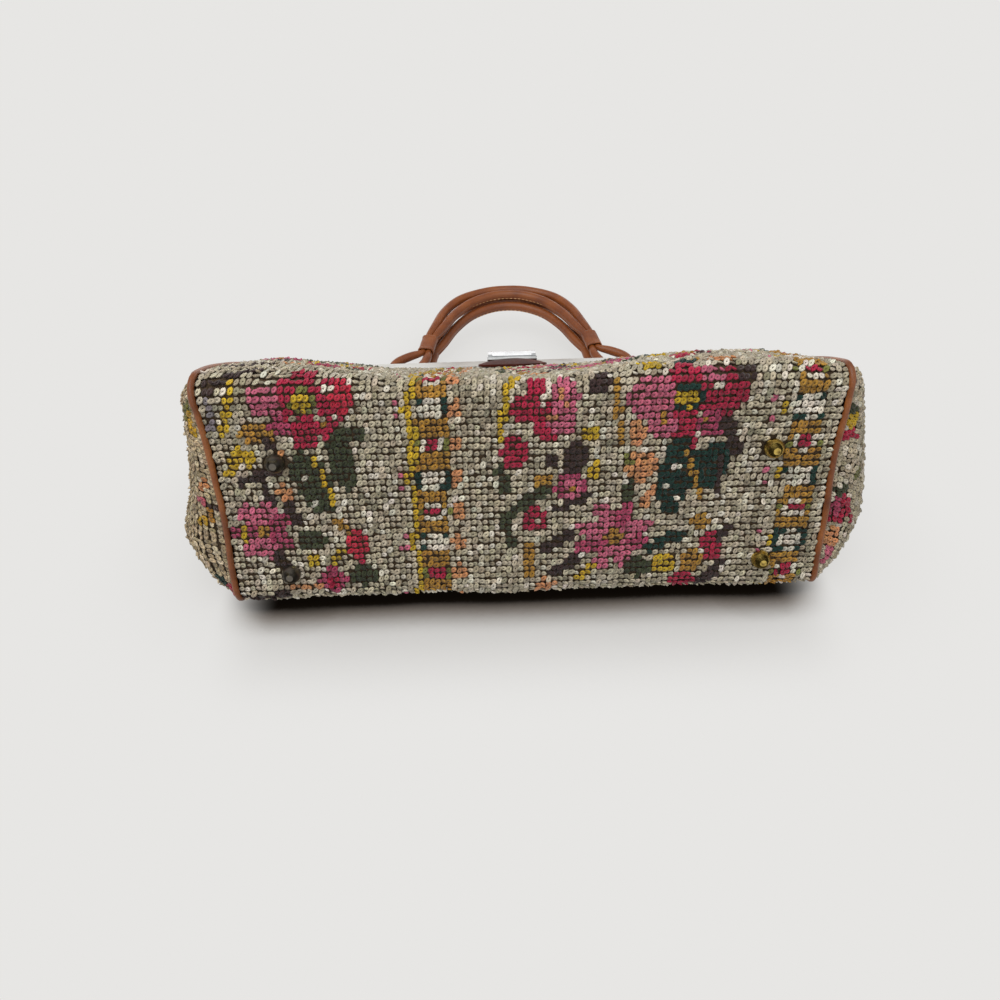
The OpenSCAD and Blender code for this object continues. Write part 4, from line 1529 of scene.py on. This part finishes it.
    def _end_grid(self, side: int) -> tuple[Array, Array, Array]:
        """Space loops evenly over an end panel.

        Args:
            side: -1 for the left end, 1 for the right.

        Returns:
            u and v of the loops, and their runs up from the bottom seam.
        """
        form, pile, many = self.form, self.end_pile, self.samples
        fine = np.linspace(*self.spine_ends, many)
        spine = form.end_skin(side, np.full(many, self.spine_u), fine)
        run = run_along(spine)
        rises = np.arange(self.row_clear[0], run[-1] - self.row_clear[1], pile.along)
        all_u, all_v, all_run = [], [], []
        across = np.linspace(-self.row_reach, self.row_reach, many)
        for v, up in zip(np.interp(rises, run, fine), rises):
            line = form.end_skin(side, across, np.full(many, v))
            run = run_along(line)
            count = max(2, int(run[-1] / pile.across))
            u = np.interp((np.arange(count) + 0.5) / count * run[-1], run, across)
            all_u.append(u)
            all_v.append(np.full(count, v))
            all_run.append(np.full(count, up))
        return np.concatenate(all_u), np.concatenate(all_v), np.concatenate(all_run)


@dataclass
class SeamPiping:
    """Leather piping in the end seams."""

    form: BagForm
    finishes: Finishes
    sink: float = 0.9
    split_run: float = 150.0
    step: float = 2.5
    sides: int = 14
    min_points: int = 8
    sway: float = 0.35
    sway_len: float = 9.0
    thick_share: float = 0.03
    thick_len: float = 5.3

    def build(self) -> None:
        """Build both runs, each split where its front leg starts to move."""
        for side, word in SIDES:
            top = self.form.piping_run
            self._run(side, f"piping_{word}", "front_leg", -top, -self.split_run, Hold.FRONT)
            self._run(side, f"piping_{word}", "run", -self.split_run, top, Hold.BAG)

    def _run(self, side: int, node: str, word: str, start: float, stop: float, hold: Hold) -> None:
        """Make one stretch of piping.

        Args:
            side: -1 for the left end, 1 for the right.
            node: The solid that it stands for.
            word: The stretch's name.
            start: Run where it starts.
            stop: Run where it stops.
            hold: How it moves.
        """
        form = self.form
        s = np.linspace(start, stop, max(self.min_points, int((stop - start) / self.step)))
        y, z, ny, nz = form.section(s, self.sink)
        out = form.swell(np.full(len(s), side * (form.seam_len / 2)), s)
        route = np.stack([side * (form.seam_x(z) + form.flare(s)), y + ny * out, z + nz * out], -1)
        route[:, 0] += self.sway * np.sin(s / self.sway_len)
        radii = form.piping_d / 2 * (1 + self.thick_share * np.sin(s / self.thick_len))
        piece = tube(f"{node}_{word}", route, radii, np.array([1.0, 0, 0]), self.sides, False)
        face_outwards(piece)
        dress(piece, self.finishes.piping)
        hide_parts(node)
        hold.fix(piece)


@dataclass
class Lining:
    """Cotton lining hung inside the carpet."""

    form: BagForm
    finishes: Finishes
    low_z: float = 15.3
    top_z: float = 213.0
    inset: float = 6.4
    half_len: float = 144.0
    cloth_t: float = 0.8
    pucker: float = 0.5
    front_puckers: float = 40
    back_puckers: float = 36
    end_sag: float = 4
    end_cut_w: float = 50

    def _wall(self, z: Array) -> Array:
        """Half depth of the lining at heights z."""
        return self.form.wall_y(np.minimum(z, self.form.neck_z)) - self.inset

    def build(self) -> None:
        """Build the front wall, then the bottom, back and ends."""
        def front(u: Array, v: Array) -> Array:
            """Lay the front wall."""
            z = self.low_z + (self.top_z - self.low_z) * (v + 1) / 2
            pucker = self.pucker * np.sin(u * self.front_puckers) * (1 - v) / 2
            return np.stack([u * self.half_len, -self._wall(z) + pucker, z], -1)

        def back(u: Array, v: Array) -> Array:
            """Lay the bottom and the back wall in one."""
            depth, height = 2 * self._wall(np.array(self.low_z)), self.top_z - self.low_z
            run = (v + 1) / 2 * (depth + height)
            z = self.low_z + np.maximum(0, run - depth)
            y = np.where(run < depth, run - depth / 2, self._wall(z))
            pucker = self.pucker * np.sin(u * self.back_puckers + 1) * np.where(run < depth, 0, 1)
            return np.stack([u * self.half_len, y - pucker, z], -1)

        width, height = 2 * self.half_len, self.top_z - self.low_z
        self._sheet("lining_front", 60, 40, front, Hold.FRONT)
        length = height + 2 * float(self._wall(np.array(self.low_z)))
        self._sheet("lining_back", 60, 60, back, Hold.BAG)
        halves = (("front", -1, Hold.LINING_END), ("back", 1, Hold.BAG))
        end_len = self.form.gusset_top_z - self.low_z
        for side, word in SIDES:
            for half, way, hold in halves:
                def end(u: Array, v: Array, side: int = side, way: int = way) -> Array:
                    """Lay half of an end wall."""
                    z = self.low_z + end_len * (v + 1) / 2
                    across = (u + way) / 2
                    sag = self.end_sag * (1 - across ** 2) * (1 - v ** 2)
                    return np.stack([side * (self.half_len + sag), across * self._wall(z), z], -1)

                self._sheet(f"lining_end_{word}_{half}", 12, 30, end, hold)

    def _sheet(
        self, name: str, columns: int, rows: int, form: Form, hold: Hold
    ) -> None:
        """Make one sheet of the lining.

        Args:
            name: The piece's name.
            columns: Faces across.
            rows: Faces along.
            form: The sheet's shape.
            hold: How it moves.
        """
        piece = shaped_panel(name, columns, rows, form)
        finish_modifier(piece, "SOLIDIFY", thickness=self.cloth_t * MM, offset=0.0)
        smooth(piece)
        dress(piece, self.finishes.lining)
        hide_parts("lining")
        hold.fix(piece)


@dataclass
class Handle:
    """Endless leather roll doubled into two strands, its keepers, its seam and its stitches."""

    word: str
    side: int
    lean_deg: float
    finishes: Finishes
    lug_span: float = 164
    rise_mm: float = 121
    roll_d: float = 7.5
    rail_y: float = 7.65
    axis_z: float = 230.275
    keeper_len: float = 20
    keeper_wall: float = 1.3
    soft_gap: float = 0.3
    stitch_size: Triple = (1.25, 0.34, 0.34)
    stitch_sides: int = 8
    stitch_rings: int = 6
    stitch_step: float = 3.6
    stitches_each_way: int = 9
    stitch_off: Triple = (0, -0.1, -0.6)
    roll_sides: int = 18
    roll_steps: int = 6
    seam_r: float = 0.75
    seam_sides: int = 8
    seam_steps: int = 8
    seam_in_share: float = 0.76
    seam_off: Triple = (0, 2.1, 0)
    turned_over: float = 0.3
    inner_from: int = 19
    keeper_low: tuple[int, int] = (7, 17)
    keeper_high: tuple[int, int] = (5, 19)
    keeper_sides: int = 40
    keeper_profile_wall: float = 1.3
    keeper_square: float = 2.2
    keeper_wave: float = 0.25
    keeper_edge: float = 0.5
    keeper_profile: tuple[Pair, ...] = (
        (0.15, -0.96), (0.75, -1.0), (1.25, -0.97), (1.45, -0.9), (1.2, -0.8), (1.15, -0.4), (1.2, 0.0),
        (1.15, 0.4), (1.2, 0.8), (1.4, 0.9), (1.25, 0.97), (0.75, 1.0), (0.15, 0.96), (0.1, 0.5),
        (0.1, -0.5))
    rows: tuple[Triple, ...] = (
        (0, 1, 1), (0.23, 0.978, 1), (0.494, 0.883, 1), (0.659, 0.719, 1), (0.757, 0.512, 0.98),
        (0.822, 0.384, 0.66), (0.841, 0.301, 0.6), (0.86, 0.219, 0.66), (0.975, 0.172, 0.9),
        (1.087, 0.116, 0.9), (1.132, 0.055, 0.9), (1.094, 0.011, 0.9), (1.045, 0, 0.9), (0.955, 0, 0.9),
        (0.894, 0.022, 0.9), (0.846, 0.079, 0.9), (0.812, 0.144, 0.86), (0.803, 0.211, 0.66),
        (0.784, 0.293, 0.6), (0.765, 0.376, 0.66), (0.672, 0.508, 0.98), (0.562, 0.669, 1),
        (0.402, 0.818, 1), (0.2, 0.908, 1), (0, 0.935, 1))

    @property
    def body(self) -> str:
        """The CAD body that the handle moves with."""
        return f"handle_{self.word}"

    def _placed(self, flat: Array) -> Array:
        """Put points of the handle's own plane in their leaning place."""
        a = math.radians(self.lean_deg)
        y, z = flat[:, 1], flat[:, 2]
        return np.stack([flat[:, 0], self.side * self.rail_y + y * math.cos(a) - z * math.sin(a),
                         self.axis_z + y * math.sin(a) + z * math.cos(a)], -1)

    def _rows_mm(self) -> Array:
        """The rows in millimetres: x, 0, height and radius."""
        r = np.array(self.rows)
        return np.stack([r[:, 0] * self.lug_span / 2, 0 * r[:, 0], r[:, 1] * self.rise_mm,
                         r[:, 2] * self.roll_d / 2], -1)

    @staticmethod
    def _curve(points: Array, steps: int, closed: bool) -> Array:
        """Run a smooth curve through points.

        Args:
            points: The points.
            steps: Steps between two points.
            closed: Whether the curve joins up.

        Returns:
            Points on the curve.
        """
        n = len(points)
        t = (np.arange(steps) / steps)[:, None]
        out = []
        for i in range(n if closed else n - 1):
            if closed:
                a, b, c, d = (points[(i + k) % n] for k in (-1, 0, 1, 2))
            else:
                a, b, c, d = (points[min(max(i + k, 0), n - 1)] for k in (-1, 0, 1, 2))
            out.append(0.5 * (2 * b + (c - a) * t + (2 * a - 5 * b + 4 * c - d) * t * t
                              + (3 * b - a - 3 * c + d) * t ** 3))
        if not closed:
            out.append(points[-1:])
        return np.concatenate(out)

    def build(self) -> None:
        """Build the roll, its seam, its stitches and its keepers."""
        side = self._rows_mm()
        loop = np.concatenate([side, (side * [-1, 1, 1, 1])[-2:0:-1]])
        curve = self._curve(loop, self.roll_steps, True)
        lean = math.radians(self.lean_deg)
        plane = np.array([0, math.cos(lean), math.sin(lean)])
        route = self._placed(curve[:, :3])
        roll = tube(f"handle_{self.word}_roll", route, curve[:, 3], plane, self.roll_sides, True)
        face_outwards(roll)
        self._leather(roll)
        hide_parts(f"handle_{self.word}")
        strand = side[self.inner_from:]
        inner = np.concatenate([strand, (strand[:-1] * [-1, 1, 1, 1])[::-1]])
        self._seam(self._curve(inner, self.seam_steps, False), plane)
        for end, word in SIDES:
            self._keeper(end, word)

    def _leather(self, piece: Piece) -> None:
        """Give a piece the handle's leather and let it ride on the handle."""
        dress(piece, self.finishes.handle)
        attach(piece, self.body)

    def _seam(self, arc: Array, plane: Array) -> None:
        """Add the raised seam under the inner strand, and stitches at its top.

        Args:
            arc: The inner strand's middle line with its radius.
            plane: Normal of the handle's plane.
        """
        tangent = unit_rows(np.gradient(arc[:, :3], axis=0))
        inward = np.stack([tangent[:, 2], 0 * tangent[:, 0], -tangent[:, 0]], -1)
        inward *= np.where(inward[:, 2] > self.turned_over, -1, 1)[:, None]
        low = arc[:, :3] + inward * arc[:, 3:] * self.seam_in_share + np.array(self.seam_off)
        radii = np.full(len(low), self.seam_r)
        seam = tube(f"handle_{self.word}_seam", self._placed(low), radii, plane, self.seam_sides, False)
        face_outwards(seam)
        self._leather(seam)
        shape, faces = self._stitch()
        run = run_along(low)
        count = np.arange(-self.stitches_each_way, self.stitches_each_way + 1)
        places = run[-1] / 2 + count * self.stitch_step
        all_points, all_faces = [], []
        for at in places:
            middle = np.array([np.interp(at, run, low[:, k]) for k in range(3)])
            ahead = np.array([np.interp(at + 1, run, low[:, k]) for k in range(3)]) - middle
            turn = math.atan2(ahead[2], ahead[0])
            c, n = math.cos(turn), math.sin(turn)
            x, y, z = shape.T
            moved = np.stack([x * c - z * n, y, x * n + z * c], -1)
            all_faces += [[i + len(all_points) * len(shape) for i in face] for face in faces]
            all_points.append(self._placed(moved + middle + np.array(self.stitch_off)))
        piece = listed_piece(f"handle_{self.word}_stitches", np.concatenate(all_points), all_faces)
        face_outwards(piece)
        smooth(piece, 180)
        dress(piece, self.finishes.thread)
        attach(piece, self.body)

    def _stitch(self) -> tuple[Array, list[list[int]]]:
        """Model one stitch, a long ball of thread.

        Returns:
            Its points in millimetres and its faces.
        """
        turn = np.arange(self.stitch_sides) / self.stitch_sides * 2 * math.pi
        lift = math.pi * np.arange(1, self.stitch_rings) / self.stitch_rings
        points = [[0, 0, 1]]
        for a in lift:
            points += [[math.sin(a) * math.cos(t), math.sin(a) * math.sin(t), math.cos(a)] for t in turn]
        points.append([0, 0, -1])
        n, last = self.stitch_sides, len(points) - 1
        faces = []
        for k in range(n):
            m = (k + 1) % n
            faces += [[0, 1 + k, 1 + m], [last, last - n + m, last - n + k]]
            for ring in range(len(lift) - 1):
                low, high = 1 + (ring + 1) * n, 1 + ring * n
                faces.append([high + k, low + k, low + m, high + m])
        return np.array(points) * self.stitch_size, faces

    def _keeper(self, end: int, word: str) -> None:
        """Make a keeper: a soft sleeve round both strands with turned edges.

        Args:
            end: -1 for the left end, 1 for the right.
            word: The end's name.
        """
        rows = self._rows_mm()
        (a, b), (c, d) = self.keeper_low, self.keeper_high
        low, high = (rows[a] + rows[b]) / 2, (rows[c] + rows[d]) / 2
        apart = float(np.linalg.norm((rows[a] - rows[b])[:3])) / 2
        hole = float(rows[a][3]) + self.soft_gap
        profile, around = np.array(self.keeper_profile), self.keeper_sides
        turn = np.arange(around) / around * 2 * math.pi
        radius = hole + profile[:, 0] * self.keeper_wall / self.keeper_profile_wall
        x = radius[:, None] * np.cos(turn) + apart * np.clip(np.cos(turn) * self.keeper_square, -1, 1)
        y = radius[:, None] * np.sin(turn)
        z = np.repeat(profile[:, 1:] * self.keeper_len / 2, around, 1)
        x = x + self.keeper_wave * np.sin(3 * turn + 2 * z / 3) * (profile[:, :1] > self.keeper_edge)
        tilt = end * math.atan2(high[0] - low[0], high[2] - low[2])
        c, n = math.cos(tilt), math.sin(tilt)
        middle = (low + high) / 2
        flat = np.stack([x * c + z * n + end * middle[0], y, z * c - x * n + middle[2]], -1)
        faces = ring_faces(len(profile), around, True)
        piece = mesh_piece(f"keeper_{self.word}_{word}_sleeve", self._placed(flat.reshape(-1, 3)), faces)
        face_outwards(piece)
        finish_modifier(piece, "SUBSURF", levels=1, render_levels=1)
        self._leather(piece)
        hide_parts(f"keeper_{self.word}_{word}")


@dataclass
class ClaspPad:
    """Half-moon of padded leather on the front wall under the clasp."""

    form: BagForm
    finishes: Finishes
    width: float = 51
    dome_h: float = 4
    edge_t: float = 1.5
    rings: int = 16
    sectors: int = 56
    top_gap: float = 1.5
    merge: float = 0.005
    bevel: float = 0.5
    bevel_deg: float = 50
    sharp_deg: float = 35

    def build(self) -> None:
        """Model a half-moon with a domed top and an upright edge, and lay it on the wall."""
        half_w, across = self.width / 2, self.sectors + 1
        ball_r = (half_w ** 2 + self.dome_h ** 2) / (2 * self.dome_h)
        out = half_w * np.arange(1, self.rings + 1) / self.rings
        turn = -math.pi * np.arange(across) / self.sectors
        x = np.concatenate([[0], np.outer(out, np.cos(turn)).ravel()])
        y = np.concatenate([[0], np.outer(out, np.sin(turn)).ravel()])
        top_z = self.edge_t + self.dome_h - ball_r + np.sqrt(ball_r ** 2 - x * x - y * y)
        top, under = np.stack([x, y, top_z], -1), np.stack([x, y, 0 * x], -1)
        faces, count = fan_faces(self.rings, self.sectors), len(x)
        last = 1 + (self.rings - 1) * across
        rim = [*range(last, last + across), *range(last - 1, 0, -across), 0, *range(1, last, across)]
        walls = [[p, q, q + count, p + count] for p, q in zip(rim, rim[1:] + rim[:1])]
        turned = [[i + count for i in reversed(face)] for face in faces]
        piece = listed_piece("clasp_pad_half_moon", np.concatenate([top, under]), faces + turned + walls)
        s = np.array([self.form.half_wrap - self.top_gap])
        y, z, _, _ = self.form.section(s, -self.form.soft_gap)
        lean = Matrix.Rotation(math.pi / 2 - self.form.lean, 4, "X")
        piece.data.transform(Matrix.Translation((0, -y[0] * MM, z[0] * MM)) @ lean)
        face_outwards(piece, self.merge)
        finish_modifier(piece, "BEVEL", width=self.bevel * MM, segments=3, limit_method="ANGLE",
                        angle_limit=math.radians(self.bevel_deg))
        smooth(piece, self.sharp_deg)
        dress(piece, self.finishes.pad)
        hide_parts("clasp_pad")
        Hold.FRONT.fix(piece)


@dataclass
class Metalwork:
    """Frame, clasp, lugs, feet and board, whose solids stay and get their finishes."""

    nodes: dict[str, Piece]
    finishes: Finishes

    def build(self) -> None:
        """Give each solid its finish."""
        f = self.finishes
        corners = ("front_left", "front_right", "back_left", "back_right")
        plan = (
            (f.nickel, ("frame_front", "frame_back", "hinge_pin_left", "hinge_pin_right")),
            (f.nickel, tuple(f"lug_{corner}" for corner in corners)),
            (f.chrome, ("clasp_bracket", "clasp_pin", "clasp_lever", "clasp_catch")),
            (f.dark_brass, ("foot_front_left", "foot_back_left")),
            (f.brass, ("foot_front_right", "foot_back_right", "foot_washers")),
            (f.board, ("base_board",)),
        )
        for material, names in plan:
            for name in names:
                node = self.nodes[name]
                node.data.materials.clear()
                node.data.materials.append(material)
                LOG.info("%s: %s", name, material.name)


@dataclass
class Studio:
    """Pale paper, soft light and the camera."""

    form: BagForm
    half: float = 4.0
    paper_gap: float = 1.9
    paper: str = "#e7e6e4"
    air: str = "#fbfaf8"
    air_strength: float = 0.52
    bands: tuple[Pair, ...] = (
        (0.0, 1.0), (0.1, 0.5), (0.28, 0.12), (0.42, 0.06), (0.52, 0.4), (0.64, 0.6), (0.84, 0.15),
        (0.93, 1.5), (1.0, 1.5))
    lamps: tuple[tuple[str, Triple, float, float], ...] = (
        ("front_lamp", (-0.45, -1.15, -0.45), 0.8, 11.5),
        ("low_lamp", (0.15, -0.55, -1.15), 0.7, 4.5),
        ("top_lamp", (0.4, -0.5, 1.4), 1.0, 9.0),
        ("back_lamp", (-0.5, 1.3, 0.7), 1.0, 8.0))
    lamp_tint: Triple = (1.0, 0.98, 0.95)
    lamp_aim: Triple = (0, 0, 0.1)
    lens: float = 29.16
    sensor: float = 36.0
    clip: float = 0.01
    eye: Triple = (-0.01685, -0.1775, -0.3888)
    eye_right: Triple = (0.99949045, 0.02526727, -0.01950841)
    eye_up: Triple = (0.03108372, -0.90941096, 0.41494018)
    eye_back: Triple = (-0.00725553, -0.41533514, -0.90973297)

    def build(self) -> None:
        """Set the stage."""
        self._ground()
        self._light()
        self._camera()

    def _ground(self) -> None:
        """Lay paper under the feet and behind the back wall, each sheet seen from its front."""
        paper = PaperGround("pale_paper").material()
        foot_y, foot_z = self.form.wall_foot
        back = Matrix.Translation((0, (foot_y + self.paper_gap) * MM, foot_z * MM))
        behind = back @ Matrix.Rotation(math.pi / 2 + self.form.lean, 4, "X")
        for name, place in (("paper_floor", Matrix.Identity(4)), ("paper_behind", behind)):
            deselect()
            bpy.ops.mesh.primitive_plane_add(size=2 * self.half)
            sheet = bpy.context.object
            sheet.name = sheet.data.name = name
            sheet.data.transform(place)
            sheet.data.materials.append(paper)
            sheet.visible_shadow = sheet.visible_diffuse = False

    def _light(self) -> None:
        """Light the bag from all round, most from its front."""
        world = bpy.data.worlds.new("soft_room")
        bpy.context.scene.world = world
        world.use_nodes = True
        tree = world.node_tree
        tree.nodes.clear()
        path = add_node(tree, "ShaderNodeLightPath").outputs
        way = add_node(tree, "ShaderNodeTexCoord").outputs["Generated"]
        height = add_node(tree, "ShaderNodeSeparateXYZ", links={0: way}).outputs["Z"]
        level = add_node(tree, "ShaderNodeMapRange", {1: -1.0, 2: 1.0}, {0: height}).outputs[0]
        room = ramp(tree, level, [(place, (value, value, value, 1)) for place, value in self.bands])
        air = {"Color": linear(self.air), "Strength": self.air_strength}
        light = add_node(tree, "ShaderNodeBackground", air).outputs[0]
        mirror = add_node(tree, "ShaderNodeBackground", {"Strength": 1.0}, {"Color": room}).outputs[0]
        plain = {"Color": linear(self.paper), "Strength": 1.0}
        shown = add_node(tree, "ShaderNodeBackground", plain).outputs[0]
        glossy = {0: path["Is Glossy Ray"], 1: light, 2: mirror}
        lit = add_node(tree, "ShaderNodeMixShader", links=glossy).outputs[0]
        mixed = add_node(tree, "ShaderNodeMixShader", links={0: path["Is Camera Ray"], 1: lit, 2: shown})
        add_node(tree, "ShaderNodeOutputWorld", links={"Surface": mixed.outputs[0]})
        for name, place, size, watts in self.lamps:
            lamp = bpy.data.lights.new(name, "AREA")
            lamp.size, lamp.energy, lamp.color = size, watts, self.lamp_tint
            holder = linked(name, lamp)
            holder.location = place
            holder.visible_glossy = place[2] < 0
            aim = Vector(self.lamp_aim) - Vector(place)
            holder.rotation_euler = aim.to_track_quat("-Z", "Y").to_euler()

    def _camera(self) -> None:
        """Put the camera below and in front of the bag, looking up at its bottom."""
        camera = bpy.data.cameras.new("camera")
        camera.sensor_width, camera.lens, camera.clip_start = self.sensor, self.lens, self.clip
        holder = linked("camera", camera)
        turn = Matrix((self.eye_right, self.eye_up, self.eye_back)).transposed().to_4x4()
        holder.matrix_world = Matrix.Translation(self.eye) @ turn
        bpy.context.scene.camera = holder
        bpy.context.scene.view_settings.view_transform = "Standard"


def main() -> None:
    """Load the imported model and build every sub-assembly."""
    logging.basicConfig(level=logging.INFO, format="%(message)s")
    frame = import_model()
    form, finishes = BagForm(), Finishes()
    Studio(form).build()
    close_pile = LoopPile(across=2.9, along=3.3, loop_r=0.86, yarn_r=0.74, tilt_deg=76)
    CarpetBody(form, LoopPile(), close_pile, Weaving(), finishes).build()
    SeamPiping(form, finishes).build()
    Lining(form, finishes).build()
    Handle("front", -1, 19.5, finishes).build()
    Handle("back", 1, 22.5, finishes).build()
    ClaspPad(form, finishes).build()
    Metalwork(frame["nodes"], finishes).build()


if __name__ == "__main__":
    main()
